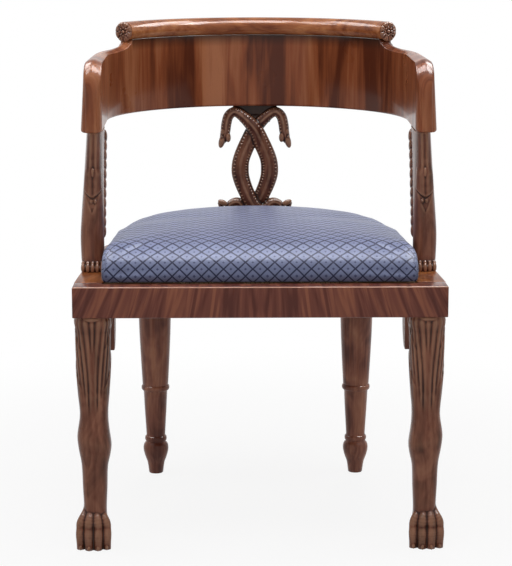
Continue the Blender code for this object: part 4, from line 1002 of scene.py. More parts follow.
rail_finishes = {"front_rail": rail_wood, "side_rail_left": side_rail_wood, "side_rail_right": side_rail_wood}
for node in RAILS:
    finish = rail_finishes.get(node, back_rail_wood)
    add_piece("eased_" + node, eased_copy(node, RAIL_ROUND), finish, "frame", [node], sharp=30)
for label in ("left", "right"):
    node = "haunch_bracket_" + label
    shape = eased_copy(node, BRACKET_ROUND)
    add_piece("eased_" + node, shape, carved_wood, "frame", [node])
print("eased copies:", len(RAILS) + 2)

# %% [markdown]
# The rear legs were turned on a lathe, so a profile is drawn from the floor to the rail and spun round.
# The rings are half rounds between two small steps. A turner's tool leaves soft curves, so every bead is
# an arc and not a corner.

# %% Rear legs
REAR_LEG_RADIUS = 0.2534
REAR_LEG_ANGLE = math.radians(46.5)
REAR_LEG_PLACE = on_arc(REAR_LEG_RADIUS, REAR_LEG_ANGLE)
RAIL_BOTTOM = 0.3865
TURNING_STEPS = 72
BEAD_STEPS = 8


def bead(inner, outer, low, high):
    """Half round from one height to another, as pairs of radius and height."""
    points = []
    for step in range(BEAD_STEPS + 1):
        turn = math.pi * step / BEAD_STEPS
        middle = (low + high) / 2
        points.append((inner + (outer - inner) * math.sin(turn), middle - (high - low) / 2 * math.cos(turn)))
    return points


rear_leg_profile = [(0.0, 0.0), (0.0122, 0.0), (0.0130, 0.0010), (0.0146, 0.0140)]
rear_leg_profile += [(0.0160, 0.0215), (0.0184, 0.0275), (0.0208, 0.0345), (0.0226, 0.0420), (0.0230, 0.0480)]
rear_leg_profile += [(0.0222, 0.0530), (0.0205, 0.0565), (0.0178, 0.0588), (0.0176, 0.0602)]
rear_leg_profile += bead(0.0178, 0.0200, 0.0604, 0.0700)
rear_leg_profile += [(0.0174, 0.0704), (0.0172, 0.0740), (0.0184, 0.0950), (0.0199, 0.1200), (0.0216, 0.1540)]
rear_leg_profile += [(0.0228, 0.1562)]
rear_leg_profile += bead(0.0230, 0.0256, 0.1566, 0.1660)
rear_leg_profile += [(0.0234, 0.1664), (0.0236, 0.1700), (0.0258, 0.2100), (0.0282, 0.2600), (0.0297, 0.3100)]
rear_leg_profile += [(0.0303, 0.3600), (0.0304, RAIL_BOTTOM - GAP), (0.0, RAIL_BOTTOM - GAP)]


def turned_leg():
    shape = bmesh.new()
    verts = [shape.verts.new((radius, 0, height)) for radius, height in rear_leg_profile]
    edges = [shape.edges.new(pair) for pair in zip(verts, verts[1:])]
    bmesh.ops.spin(shape, geom=verts + edges, cent=(0, 0, 0), axis=(0, 0, 1), angle=2 * math.pi,
                   steps=TURNING_STEPS, use_merge=True)
    bmesh.ops.remove_doubles(shape, verts=shape.verts, dist=SEAM)
    bmesh.ops.recalc_face_normals(shape, faces=shape.faces)
    bmesh.ops.translate(shape, verts=shape.verts, vec=(*REAR_LEG_PLACE, 0))
    return shape


for label, shape in both_sides(turned_leg()):
    add_piece("turned_leg_" + label, shape, turned_wood, "frame", ["rear_leg_" + label], sharp=50)
print("rear leg profile points", len(rear_leg_profile))

# %% [markdown]
# The front legs are carved as the hind leg of a lion: an acanthus leaf clasps the top, and below it come
# the knee, the shank and the paw. Sculpting by hand would be freer, but a script has to give the same
# leg each time, so the body is a sweep of rounded squares and the leaf is a relief on that sweep:
# grooves of differing strength fan out from below the neck, two lobes lie on each edge of the leaf, and
# its tip curls away under the rail.

# %% Front leg body
LEG_X = 0.269
PAW_X = 0.2715
LEG_TOP = RAIL_BOTTOM - GAP
LEG_COLUMNS = 240
LEG_ROWS = 360
LEG_KEYS = (                    # height, width, front behind the rail's face, depth, squareness
    (0.0000, 0.0430, 0.0130, 0.0420, 2.6), (0.0200, 0.0440, 0.0120, 0.0440, 2.6),
    (0.0420, 0.0410, 0.0115, 0.0440, 2.5), (0.0600, 0.0370, 0.0128, 0.0400, 2.4),
    (0.1000, 0.0400, 0.0120, 0.0420, 2.4), (0.1400, 0.0430, 0.0090, 0.0460, 2.4),
    (0.1680, 0.0520, 0.0045, 0.0530, 2.4), (0.1880, 0.0550, 0.0020, 0.0560, 2.4),
    (0.2230, 0.0460, 0.0070, 0.0470, 2.5), (0.2600, 0.0505, 0.0055, 0.0515, 2.6),
    (0.3000, 0.0545, 0.0045, 0.0550, 2.8), (0.3400, 0.0555, 0.0040, 0.0565, 3.0),
    (LEG_TOP, 0.0550, 0.0040, 0.0560, 3.2),
)
KNEE_HEIGHT = 0.180
KNEE_LEAN = 0.014               # how much lower the knee bulges on the inner side
GROOVES = (                     # strength of each groove of the leaf, then heights and runs from the middle
    (1.0, (0.222, 0.0072), (0.262, 0.0076), (0.300, 0.0092), (0.335, 0.0128), (0.376, 0.0180)),
    (0.7, (0.318, 0.0016), (0.345, 0.0034), (0.376, 0.0050)),
    (0.8, (0.240, 0.0142), (0.270, 0.0160), (0.305, 0.0195), (0.340, 0.0245), (0.376, 0.0290)),
    (0.5, (0.330, 0.0150), (0.350, 0.0182), (0.376, 0.0228)),
    (0.9, (0.268, 0.0235), (0.300, 0.0280), (0.345, 0.0340), (0.376, 0.0385)),
    (0.6, (0.246, 0.0330), (0.300, 0.0385), (0.376, 0.0470)),
    (0.6, (0.256, 0.0430), (0.300, 0.0480), (0.376, 0.0560)),
)
LOBES = ((0.200, 0.266), (0.266, 0.328))    # lower and upper end of the lobes on the edges of the leaf
LEAF_EDGE = 0.020               # run from the middle of the front at which they begin
LOBE_LIFT = 0.0013
LOBE_SLANT = 1.2                # how steeply the ends of the lobes rise outwards
GROOVE_DEPTH = 0.0019
GROOVE_START = 0.0022           # half width at its lower end
GROOVE_SPREAD = 0.026           # how the half width grows with height
GROOVE_EASE = 0.030             # height over which a groove deepens
FLARE_LOW = 0.3600
FLARE_LIFT = 0.0022
FLARE_EASE = 0.016
FLARE_HIGH = 0.378
FLARE_END = 0.008
FLARE_RETURN = 0.9              # share of the flare that goes back under the rail
LOBE_EASE = 0.008
KNEE_REACH = 0.04
PAW_SHIFT = 0.06                # height over which the leg moves out to the paw


def rounded_square(turn, half_width, half_depth, squareness):
    """Point and outward direction on a rounded square."""
    cos, sin = math.cos(turn), math.sin(turn)
    reach = (abs(cos / half_width) ** squareness + abs(sin / half_depth) ** squareness) ** (-1 / squareness)
    point = Vector((reach * cos, reach * sin))
    power = squareness - 1
    lean = Vector((math.copysign(abs(point.x / half_width) ** power / half_width, point.x),
                   math.copysign(abs(point.y / half_depth) ** power / half_depth, point.y)))
    return point, lean.normalized()


def groove_depth(run, height):
    """Depth of the deepest groove at a run from the middle of the front and at a height."""
    deepest = 0.0
    for strength, *keys in GROOVES:
        risen = height - keys[0][0]
        if risen > 0:
            half = GROOVE_START + GROOVE_SPREAD * risen
            away = abs(abs(run) - between(keys, height)[0])
            depth = GROOVE_DEPTH * strength * ease(risen / GROOVE_EASE)
            deepest = max(deepest, depth * max(0.0, 1 - (away / half) ** 2) ** 2)
    return deepest


def leg_point(around, up):
    height = LEG_TOP * up
    turn = 2 * math.pi * around
    inner_share = (1 - math.cos(turn)) / 2
    lowered = KNEE_LEAN * inner_share * math.exp(-((height - KNEE_HEIGHT) / KNEE_REACH) ** 2)
    width, front, depth, squareness = between(LEG_KEYS, height + lowered)
    point, lean = rounded_square(turn, width / 2, depth / 2, squareness)
    run = abs(point.x) + point.y + depth / 2
    lift = -groove_depth(run, height)
    flare = ease((height - FLARE_LOW) / FLARE_EASE)
    lift += FLARE_LIFT * (flare - FLARE_RETURN * ease((height - FLARE_HIGH) / FLARE_END))
    leaf_height = height - LOBE_SLANT * (run - LEAF_EDGE)
    for low, high in LOBES:
        if low < leaf_height < high:
            lift += LOBE_LIFT * (leaf_height - low) / (high - low) * ease((run - LEAF_EDGE) / LOBE_EASE)
    middle_x = LEG_X + (PAW_X - LEG_X) * (1 - ease(height / PAW_SHIFT))
    x = middle_x + point.x + lean.x * lift
    y = FRONT_Y + front + depth / 2 + point.y + lean.y * lift
    return Vector((x, y, height))


# %% [markdown]
# A lion's paw shows four toes from the front. Each toe has a knuckle on top, a long pad that reaches the
# floor, and a short claw. The two outer toes stand a little further back, so the row of toes is curved.
# Each toe is a row of balls along a bent line, close enough to melt into one finger together with the
# body of the leg.

# %% Paw
CARVING_VOXEL = 0.0009
LEG_VOXEL = 0.0010
CARVED_SHARP = 70               # degrees beyond which a carved edge stays sharp
TOES = ((-0.0212, 0.0060), (-0.0073, 0.0), (0.0073, 0.0), (0.0212, 0.0060))
TOE_KEYS = (                    # share of the toe, distance behind the front of the paw, height, radius
    (0.00, 0.0300, 0.072, 0.0060), (0.20, 0.0195, 0.058, 0.0072), (0.36, 0.0105, 0.047, 0.0080),
    (0.52, 0.0100, 0.036, 0.0073), (0.70, 0.0074, 0.025, 0.0080), (0.86, 0.0078, 0.012, 0.0072),
    (1.00, 0.0095, 0.000, 0.0068),
)
TOE_BALLS = 25
TOE_ROOT = 0.50                 # share of its spread at which a toe begins
SPREAD_HEIGHT = 0.066           # height below which the toes spread
SPREAD_FALL = 0.028
CLAW_BEHIND = 0.0012
CLAW_HEIGHT = 0.0040
CLAW_RADII = (0.0026, 0.0026, 0.0042)
CLAW_TILT = math.radians(-12)
TIP_BEHIND = 0.0050
TIP_HEIGHT = 0.3830
TIP_RADII = (0.0120, 0.0042, 0.0040)
TIP_TILT = math.radians(-25)


def egg(centre, radii, tilt=0.0, lean=0.0):
    shape = bmesh.new()
    turn = Matrix.Rotation(lean, 4, "Y") @ Matrix.Rotation(tilt, 4, "X")
    place = Matrix.Translation(centre) @ turn @ Matrix.Diagonal((*radii, 1))
    bmesh.ops.create_icosphere(shape, subdivisions=3, radius=1.0, matrix=place)
    return shape


def paw_shapes():
    shapes = []
    for across, back in TOES:
        for number in range(TOE_BALLS):
            behind, height, radius = between(TOE_KEYS, number / (TOE_BALLS - 1))
            spread = across * (TOE_ROOT + (1 - TOE_ROOT) * ease((SPREAD_HEIGHT - height) / SPREAD_FALL))
            shapes.append(egg((PAW_X + spread, FRONT_Y + back + behind, height), (radius, radius, radius)))
        claw = (PAW_X + across, FRONT_Y + back + CLAW_BEHIND, CLAW_HEIGHT)
        shapes.append(egg(claw, CLAW_RADII, CLAW_TILT))
    return shapes


def leaf_tip():
    """Curled tip of the leaf under the rail."""
    return egg((LEG_X, FRONT_Y + TIP_BEHIND, TIP_HEIGHT), TIP_RADII, TIP_TILT)


leg_shape = bent_grid(LEG_COLUMNS, LEG_ROWS, leg_point)
close_ends(leg_shape)
carved_leg = melt([leg_shape] + paw_shapes() + [leaf_tip()], LEG_VOXEL, smoothing=2)
cut_flat(carved_leg, 0.0, True)
cut_flat(carved_leg, LEG_TOP, False)
for label, shape in both_sides(carved_leg):
    leg = add_piece("lion_leg_" + label, shape, carved_wood, "frame", ["front_leg_" + label],
                    sharp=CARVED_SHARP)
    hollows = mark_hollows(leg)
    print("lion leg", label, "faces", len(leg.data.polygons), "deepest hollow", hollows.max().round(2))

# %% [markdown]
# The arm supports are small lion legs too. The front is fluted near the arm, the flutes end in a tongue
# and a drop, and below it a plain leg stands on a foot with small toes. The back edge is an acanthus
# leaf with saw-like lobes. They are made in the same way as the front legs: a sweep with a relief, and
# small eggs for toes and lobes.

# %% Arm supports
SUPPORT_FRONT_Y = -0.1651
SUPPORT_LOW = SEAT_HEIGHT + GAP
SUPPORT_HIGH = BAND_BOTTOM - GAP
SUPPORT_COLUMNS = 200
SUPPORT_ROWS = 260
SUPPORT_KEYS = (                # height, width, front behind SUPPORT_FRONT_Y, depth, squareness
    (SUPPORT_LOW, 0.0370, 0.0060, 0.0470, 2.8), (0.4480, 0.0370, 0.0085, 0.0450, 2.7),
    (0.4580, 0.0380, 0.0100, 0.0440, 2.5), (0.4950, 0.0388, 0.0110, 0.0440, 2.5),
    (0.5300, 0.0368, 0.0077, 0.0560, 2.5), (0.5760, 0.0334, 0.0038, 0.0800, 2.6),
    (0.6220, 0.0300, 0.0011, 0.1040, 2.8), (SUPPORT_HIGH, 0.0270, 0.0000, 0.1350, 3.0),
)
CHANNEL_WIDTH = 0.0028
CHANNEL_DEPTH = 0.0017
SIDE_GROOVE = 0.0075            # run of the side grooves from the middle
LIP_LOW = 0.5620
LIP_RISE = 0.017                # how much the lip rises towards the edges
LIP_LIFT = 0.0022
POINT_LOW = 0.5350
LEAF_LOW = 0.500
LEAF_END = 0.672
LOBE_PITCH = 0.0150
LOBE_DEPTH = 0.0030
LEAF_LOBES = 11
LOBE_INSET = 0.0026             # middle of the lobes beside the inner face
SUPPORT_INSET = 0.0004          # inner face beside that of the arm
FRONT_REACH = 0.016             # how far back the carving of the front reaches
FRONT_FADE = 0.008
LIP_EDGE = 0.0016
FLUTE_LOW = 0.598
FLUTE_FADE = 0.014
SIDE_DEPTH = 0.0009
SIDE_WIDTH = 0.0016
TONGUE_FALL = 0.8               # share of the lip that is lost where the flutes begin
UNDERCUT_DEPTH = 0.0012
UNDERCUT_DROP = 0.0022
UNDERCUT_WIDTH = 0.0018
UNDERCUT_HALF = 0.75
POINT_DEPTH = 0.0012
POINT_HALF = 0.62
LEAF_FADE = (0.02, 0.01)        # at the lower and upper end of the leaf
LOBE_REACH = 0.016
LOBE_FADE = 0.010
LOBE_HOOK = 1.4
RIB_SLANT = 0.45
RIB_PITCH = 0.0085
RIB_DEPTH = 0.0016
RIB_SHARPNESS = 2.4
RIB_REACH = 0.034
RIB_FADE = 0.008


def front_relief(point, height, width, depth):
    """Flutes, lip and the pointed recess below it on the front."""
    across = point.x / (width / 2)
    in_front = ease((-point.y - depth / 2 + FRONT_REACH) / FRONT_FADE)
    lip_level = LIP_LOW + LIP_RISE * across ** 2
    above_lip = ease((height - lip_level) / LIP_EDGE)
    risen = ease((height - FLUTE_LOW) / FLUTE_FADE)
    channel = CHANNEL_DEPTH * math.exp(-(point.x / CHANNEL_WIDTH) ** 2) * above_lip
    side = SIDE_DEPTH * math.exp(-((abs(point.x) - SIDE_GROOVE) / SIDE_WIDTH) ** 2) * risen
    tongue = LIP_LIFT * above_lip * (1 - TONGUE_FALL * risen)
    below_lip = math.exp(-((height - lip_level + UNDERCUT_DROP) / UNDERCUT_WIDTH) ** 2)
    shadow = UNDERCUT_DEPTH * below_lip * (abs(across) < UNDERCUT_HALF)
    point_half = POINT_HALF * (height - POINT_LOW) / (LIP_LOW - POINT_LOW)
    in_point = (POINT_LOW < height < lip_level) and abs(across) < point_half
    recess = POINT_DEPTH if in_point else 0.0
    return (tongue - channel - side - shadow - recess) * in_front


def leaf_relief(from_back, height):
    """Lobes and ribs of the leaf, at a distance from the back edge that counts forward as less than 0."""
    in_leaf = ease((height - LEAF_LOW) / LEAF_FADE[0]) * ease((LEAF_END - height) / LEAF_FADE[1])
    lobe = ((height - LEAF_LOW) / LOBE_PITCH) % 1.0
    lobes = LOBE_DEPTH * (lobe ** LOBE_HOOK - 0.5) * ease((from_back + LOBE_REACH) / LOBE_FADE)
    fan = (from_back + RIB_SLANT * (height - LEAF_LOW)) / RIB_PITCH
    rib_share = abs((fan + 0.5) % 1.0 - 0.5) * 2
    ribs = RIB_DEPTH * rib_share ** RIB_SHARPNESS * ease((from_back + RIB_REACH) / RIB_FADE)
    return (lobes - ribs) * in_leaf


def support_point(around, up):
    height = SUPPORT_LOW + (SUPPORT_HIGH - SUPPORT_LOW) * up
    width, front, depth, squareness = between(SUPPORT_KEYS, height)
    point, lean = rounded_square(2 * math.pi * around, width / 2, depth / 2, squareness)
    lift = front_relief(point, height, width, depth) + leaf_relief(point.y - depth / 2, height)
    return Vector((
        INNER_RADIUS + SUPPORT_INSET + width / 2 + point.x + lean.x * lift,
        SUPPORT_FRONT_Y + front + depth / 2 + point.y + lean.y * lift,
        height,
    ))


# %% [markdown]
# Small rounded forms are easier as shapes of their own than as a relief: the toes, the lobes of the
# leaf, and the drop and beads on the front are stretched balls, which are then melted into the sweep.

# %% Small carvings of the arm supports
SMALL_TOES = 5
SMALL_TOE_MIDDLE = 0.0190
SMALL_TOE_SPREAD = 0.0158
SMALL_TOE_BEHIND = 0.0075
SMALL_TOE_CURVE = 0.004
SMALL_TOE_TILT = math.radians(-15)
SMALL_TOE_EGGS = (              # distance behind, height over the rail, and radii of a toe and its knuckle
    (0.0, 0.0065, (0.0036, 0.0070, 0.0082)),
    (0.003, 0.0135, (0.0030, 0.0050, 0.0036)),
)
LOBE_RADII = (0.0054, 0.0105, 0.0125)
LOBE_FORWARD = 0.012
LOBE_TILT = math.radians(20)
HALF_AT_DROP = 0.0158           # about half the width of the support, so the drop is in the middle
DROP_EGGS = (                   # across, distance behind, height and radii of the drop and the two beads
    (0.0, 0.0022, 0.6030, (0.0026, 0.0030, 0.0075)),
    (-0.0034, 0.0060, 0.5550, (0.0021, 0.0020, 0.0030)),
    (0.0034, 0.0060, 0.5550, (0.0021, 0.0020, 0.0030)),
)


def small_carvings():
    """Toes on the rail, lobes of the leaf, a drop at the end of the channel, two beads under the lip."""
    shapes = []
    middle_toe = (SMALL_TOES - 1) / 2
    for number in range(SMALL_TOES):
        share = (number - middle_toe) / middle_toe
        x = INNER_RADIUS + SMALL_TOE_MIDDLE + SMALL_TOE_SPREAD * share
        y = SUPPORT_FRONT_Y + SMALL_TOE_BEHIND + SMALL_TOE_CURVE * share ** 2
        for behind, height, radii in SMALL_TOE_EGGS:
            shapes.append(egg((x, y + behind, SEAT_HEIGHT + height), radii, SMALL_TOE_TILT))
    for number in range(LEAF_LOBES):
        height = LEAF_LOW + LOBE_PITCH * number
        _, front, depth, _ = between(SUPPORT_KEYS, height)
        place = (INNER_RADIUS + LOBE_INSET, SUPPORT_FRONT_Y + front + depth - LOBE_FORWARD, height)
        shapes.append(egg(place, LOBE_RADII, LOBE_TILT))
    middle = INNER_RADIUS + SUPPORT_INSET + HALF_AT_DROP
    for across, behind, height, radii in DROP_EGGS:
        shapes.append(egg((middle + across, SUPPORT_FRONT_Y + behind, height), radii))
    return shapes


support_shape = bent_grid(SUPPORT_COLUMNS, SUPPORT_ROWS, support_point)
close_ends(support_shape)
carved_support = melt([support_shape] + small_carvings(), CARVING_VOXEL, smoothing=1)
cut_flat(carved_support, SUPPORT_LOW, True)
cut_flat(carved_support, SUPPORT_HIGH, False)
for label, shape in both_sides(carved_support):
    support = add_piece("carved_support_" + label, shape, carved_wood, "frame", ["arm_support_" + label],
                        sharp=CARVED_SHARP)
    mark_hollows(support)
print("arm support faces", len(support.data.polygons))

# %% [markdown]
# The splat shows two serpents that wind round each other twice: below their heads and above their tails.
# Each serpent is a tube along a smooth path through a few key points. A curve object could carry such a
# tube, but its width would need a second curve, so the path is a table that lists how far across, how
# high and how wide the body is, and how far it leans to the front: one body passes in front at the upper
# crossing and behind at the lower.

# %% Serpent path
SPLAT_Y = 0.2759
SPLAT_HALF_WIDTH = 0.067
SPLAT_LOW = 0.467
SPLAT_ROOM = 0.1874
SPLAT_THICKNESS = 0.022
SPLAT_WEAVE = 0.004
SERPENT_ROWS = 420
SERPENT_COLUMNS = 72
SPINE_REACH = 6                 # rows on each side that give the direction
SERPENT_KEYS = (                # across, height, width as shares, and the lean to the front
    (0.94, 0.680, 0.07, 0.0), (0.86, 0.741, 0.22, 0.0), (0.81, 0.815, 0.27, 0.0), (0.78, 0.896, 0.28, 0.0),
    (0.715, 0.972, 0.28, 0.0), (0.56, 1.012, 0.27, 0.2), (0.34, 0.972, 0.31, 0.6), (0.015, 0.854, 0.40, 1.0),
    (-0.165, 0.725, 0.45, 0.6), (-0.36, 0.560, 0.46, 0.0), (-0.405, 0.442, 0.48, 0.0),
    (-0.365, 0.345, 0.46, 0.0), (-0.22, 0.210, 0.43, -0.6), (-0.015, 0.082, 0.41, -1.0),
    (0.24, 0.050, 0.30, -0.8), (0.46, 0.118, 0.25, -0.4), (0.66, 0.104, 0.21, 0.0),
    (0.78, 0.042, 0.18, 0.0), (0.895, 0.053, 0.15, 0.0), (1.0, 0.118, 0.075, 0.0),
)


def on_path(share):
    """Smooth row of across, height, width and lean at a share of the serpent's length."""
    last = len(SERPENT_KEYS) - 1
    index = min(int(share * last), last - 1)
    t = share * last - index
    rows = [SERPENT_KEYS[min(max(index + step, 0), last)] for step in (-1, 0, 1, 2)]
    return [
        0.5 * (2 * b + (c - a) * t + (2 * a - 5 * b + 4 * c - d) * t ** 2 + (3 * b - a - 3 * c + d) * t ** 3)
        for a, b, c, d in zip(*rows)
    ]


def serpent_spine(side):
    """Rows of middle point, direction across, width, and run along the body."""
    rows = []
    for number in range(SERPENT_ROWS + 1):
        across, height, width, lean = on_path(number / SERPENT_ROWS)
        rows.append((Vector((-side * across * SPLAT_HALF_WIDTH, SPLAT_Y - lean * SPLAT_WEAVE * side,
                             SPLAT_LOW + height * SPLAT_ROOM)), width * SPLAT_HALF_WIDTH))
    spine = []
    run = 0.0
    for number, (middle, width) in enumerate(rows):
        before = rows[max(number - SPINE_REACH, 0)][0]
        after = rows[min(number + SPINE_REACH, SERPENT_ROWS)][0]
        along = Vector((after.x - before.x, 0, after.z - before.z)).normalized()
        if number:
            run += (middle - rows[number - 1][0]).length
        spine.append((middle, Vector((along.z, 0, -along.x)), width, run))
    return spine


# %% [markdown]
# Along the back of each body runs a ridge, and short raised bars on its edges mark the scales. The heads
# are a few eggs: a long snout, a shorter jaw, a brow and an eye. Behind the necks the carver left a web
# of wood that ties the splat to the back, and a plain block holds the tails.

# %% Serpents
RIDGE_LIFT = 0.0006
TICK_PITCH = 0.0060
TICK_BODY = 0.017               # thinner stretches have no ticks
TICK_PLACE = 0.66               # share of the half width
TICK_RADII = (0.0025, 0.0015, 0.0010)
RIDGE_WIDTH = 0.20              # share of the half width
BODY_FULLNESS = 1.1             # thickness of a thin body, as a share of its width
WEB_SHADE = 1.00                # painted shade on the web behind the bodies, given as extra wax
WEB_LOW = 0.606
WEB_HALF = 0.052
WEB_FRONT_Y = SPLAT_Y - 0.003
HEAD_EGGS = (                   # across, forward, height, radii, and lean in degrees
    (0.0605, 0.003, 0.6030, (0.0060, 0.0085, 0.0135), -14),     # snout
    (0.0500, 0.003, 0.6110, (0.0058, 0.0078, 0.0105), 8),       # jaw, on the inner side
    (0.0565, 0.0055, 0.6205, (0.0056, 0.0050, 0.0085), 0),      # brow
    (0.0610, 0.0115, 0.6120, (0.0018, 0.0020, 0.0020), 0),      # eye
    (0.0590, 0.004, 0.4885, (0.0100, 0.0050, 0.0052), -25),     # leaf at the tip of the tail
)
SPLAT_BLOCKS = (                # half width, front and back from the middle, lower and upper end
    (0.038, -0.009, 0.009, SEAT_HEIGHT, SPLAT_LOW),             # block under the tails
    (0.040, -0.001, 0.009, BAND_BOTTOM - 0.0170, BAND_BOTTOM),  # web behind the necks, in three steps
    (0.028, 0.001, 0.009, 0.6375, BAND_BOTTOM),
    (0.016, 0.001, 0.009, 0.6150, 0.6400),
)


def body_thickness(width):
    return min(SPLAT_THICKNESS, width * BODY_FULLNESS)


def scale_ticks(side):
    """Short raised bars along both edges of a body, which mark the scales."""
    ticks = []
    wanted = TICK_PITCH
    for middle, across, width, run in serpent_spine(side):
        if run < wanted:
            continue
        wanted += TICK_PITCH
        if width < TICK_BODY:
            continue
        forward = Vector((0, -body_thickness(width) / 2 * math.sqrt(1 - TICK_PLACE ** 2), 0))
        for edge in (-1, 1):
            place = middle + across * (edge * width / 2 * TICK_PLACE) + forward
            ticks.append(egg(place, TICK_RADII, lean=math.atan2(-across.z, across.x)))
    return ticks


def serpent_shape(side):
    spine = serpent_spine(side)

    def place(around, along):
        middle, across, width, _ = spine[round(along * SERPENT_ROWS)]
        turn = 2 * math.pi * around
        thickness = body_thickness(width)
        out, front = math.cos(turn), -math.sin(turn)
        lift = RIDGE_LIFT * math.exp(-(out / RIDGE_WIDTH) ** 4) if front > 0 else 0.0
        depth = (thickness / 2 + lift) * front
        return middle + across * (width / 2) * out + Vector((0, -depth, 0))
    shape = bent_grid(SERPENT_COLUMNS, SERPENT_ROWS, place)
    close_ends(shape)
    return shape


def block(low, high):
    shape = bmesh.new()
    middle = (Vector(low) + Vector(high)) / 2
    size = Vector(high) - Vector(low)
    bmesh.ops.create_cube(shape, size=1.0, matrix=Matrix.Translation(middle) @ Matrix.Diagonal((*size, 1)))
    return shape


def head_shapes(side):
    shapes = []
    for across, forward, height, radii, lean in HEAD_EGGS:
        place = (side * across, SPLAT_Y - forward, height)
        shapes.append(egg(place, radii, lean=side * math.radians(lean)))
    return shapes


# %% [markdown]
# The bodies, bars, heads, web and block overlap on purpose, so that melting them leaves no seam. The web
# lies in the shade of the bodies, so its stored hollow is raised: the extra wax paints that shade, and no
# rubbed highlight shows there.

# %% Splat
splat_parts = [serpent_shape(1), serpent_shape(-1)] + scale_ticks(1) + scale_ticks(-1)
for half, front, back, low, high in SPLAT_BLOCKS:
    splat_parts.append(block((-half, SPLAT_Y + front, low), (half, SPLAT_Y + back, high)))
for side in (-1, 1):
    splat_parts += head_shapes(side)
splat_shape = melt(splat_parts, CARVING_VOXEL, smoothing=1)
cut_flat(splat_shape, SEAT_HEIGHT + GAP, True)
cut_flat(splat_shape, BAND_BOTTOM - GAP, False)
splat = add_piece("serpents", splat_shape, serpent_wood, "frame", ["serpent_splat"],
                  sharp=CARVED_SHARP)
mark_hollows(splat)
# Painted shade: the web behind the necks, and the back of the splat above the necks, gets extra wax.
for vert, store in zip(splat.data.vertices, splat.data.attributes["hollow"].data):
    if vert.co.z > WEB_LOW and abs(vert.co.x) < WEB_HALF and vert.co.y > WEB_FRONT_Y:
        store.value += WEB_SHADE
print("serpent faces", len(splat.data.polygons))

# %% [markdown]
# The seat fills the opening between the rails: straight in front, gently narrower to the back, and round
# behind. Its plan is needed several times, for the wall of the cushion at each height and for the base
# cloth, so one function draws it with a margin, a corner rounding and a set-back of the front. The
# points are spaced evenly, so that outlines of different size match point by point.

# %% Seat outline
RAIL_FRONT_HALF = 0.300
RAIL_FLARE = 0.015
ARC_OFFSET = 0.2997
RAIL_WIDTH = 0.046
FRONT_LIP = 0.030
BACK_OPENING = 0.239
OUTLINE_POINTS = 240
CORNER_STEPS = 8
SIDE_STEPS = 24
BACK_STEPS = 32


def opening(offset):
    """Half width of the seat opening at a distance behind the front of the rail."""
    return RAIL_FRONT_HALF - RAIL_FLARE * ease(offset / ARC_OFFSET) - RAIL_WIDTH


def seat_outline(margin, corner, set_back):
    """Evenly spaced plan points of the seat opening moved out by a margin, from the front middle round."""
    front = FRONT_LIP - margin + set_back
    half = opening(front) + margin
    right = [Vector((0.0, front))]
    for step in range(CORNER_STEPS + 1):
        turn = math.pi / 2 * step / CORNER_STEPS
        x = half - corner + corner * math.sin(turn)
        right.append(Vector((x, front + corner - corner * math.cos(turn))))
    for step in range(1, SIDE_STEPS + 1):
        offset = front + corner + (ARC_OFFSET - front - corner) * step / SIDE_STEPS
        right.append(Vector((opening(offset) + margin, offset)))
    radius = BACK_OPENING + margin
    for step in range(1, BACK_STEPS + 1):
        turn = math.pi / 2 * step / BACK_STEPS
        right.append(Vector((radius * math.cos(turn), ARC_OFFSET + radius * math.sin(turn))))
    loop = right + [Vector((-point.x, point.y)) for point in reversed(right[1:-1])]
    lengths = [0.0]
    for first, second in zip(loop, loop[1:] + loop[:1]):
        lengths.append(lengths[-1] + (second - first).length)
    points = []
    index = 0
    for number in range(OUTLINE_POINTS):
        wanted = lengths[-1] * number / OUTLINE_POINTS
        while lengths[index + 1] < wanted:
            index += 1
        share = (wanted - lengths[index]) / (lengths[index + 1] - lengths[index])
        point = loop[index].lerp(loop[(index + 1) % len(loop)], share)
        points.append(Vector((point.x, FRONT_Y + point.y)))
    return points


# %% [markdown]
# The cushion is a crowned pad of stuffing under silk. It could start as a flattened cube, but the wall
# of a real seat leans out over the rail and then rolls back, most of all in front, so a round grid goes
# from the lower edge up the wall, through a key row for each height, and over the crown to the middle.
# An old seat has sunk behind, where the sitter's weight rests, and most at its rear corners.

# %% Cushion shape
CUSHION_WALL = 0.0516
CUSHION_CROWN = 0.0130
CUSHION_FLATNESS = 3.4
CUSHION_SHOULDER = 0.9
CUSHION_LOW = 0.4386
WALL_ROWS = 16
CROWN_ROWS = 60
REAR_DROP = 0.0070              # how much lower the cover is behind
CORNER_DROP = 0.0045            # and at its rear corners
REAR_START = 0.08               # how far in front of the bend the cover begins to sink
REAR_EASE = 0.12
CORNER_BEHIND = 0.045
CORNER_REACH = 0.055
CORNER_ACROSS = 0.20
MIDDLE_FORWARD = 0.020
CUSHION_WALL_KEYS = (           # height, margin outside the opening, corner rounding, set-back of the front
    (CUSHION_LOW, 0.0002, 0.004, 0.0), (0.4470, 0.0020, 0.007, 0.0004), (0.4600, 0.0036, 0.013, 0.0034),
    (0.4720, 0.0042, 0.021, 0.0096), (0.4810, 0.0038, 0.028, 0.0180), (0.4886, 0.0014, 0.034, 0.0310),
)
wall_outlines = []
for row in range(WALL_ROWS + 1):
    level = CUSHION_LOW + (SEAT_HEIGHT + CUSHION_WALL - CUSHION_LOW) * row / WALL_ROWS
    wall_outlines.append((level, seat_outline(*between(CUSHION_WALL_KEYS, level))))
cushion_middle = Vector((0.0, ARC_Y - MIDDLE_FORWARD))


def sunk_by(place):
    """How far the cover has sunk at a plan point of the outline."""
    behind = place.y - ARC_Y
    corner = math.exp(-((behind - CORNER_BEHIND) / CORNER_REACH) ** 2) * ease(abs(place.x) / CORNER_ACROSS)
    return REAR_DROP * ease((behind + REAR_START) / REAR_EASE) + CORNER_DROP * corner


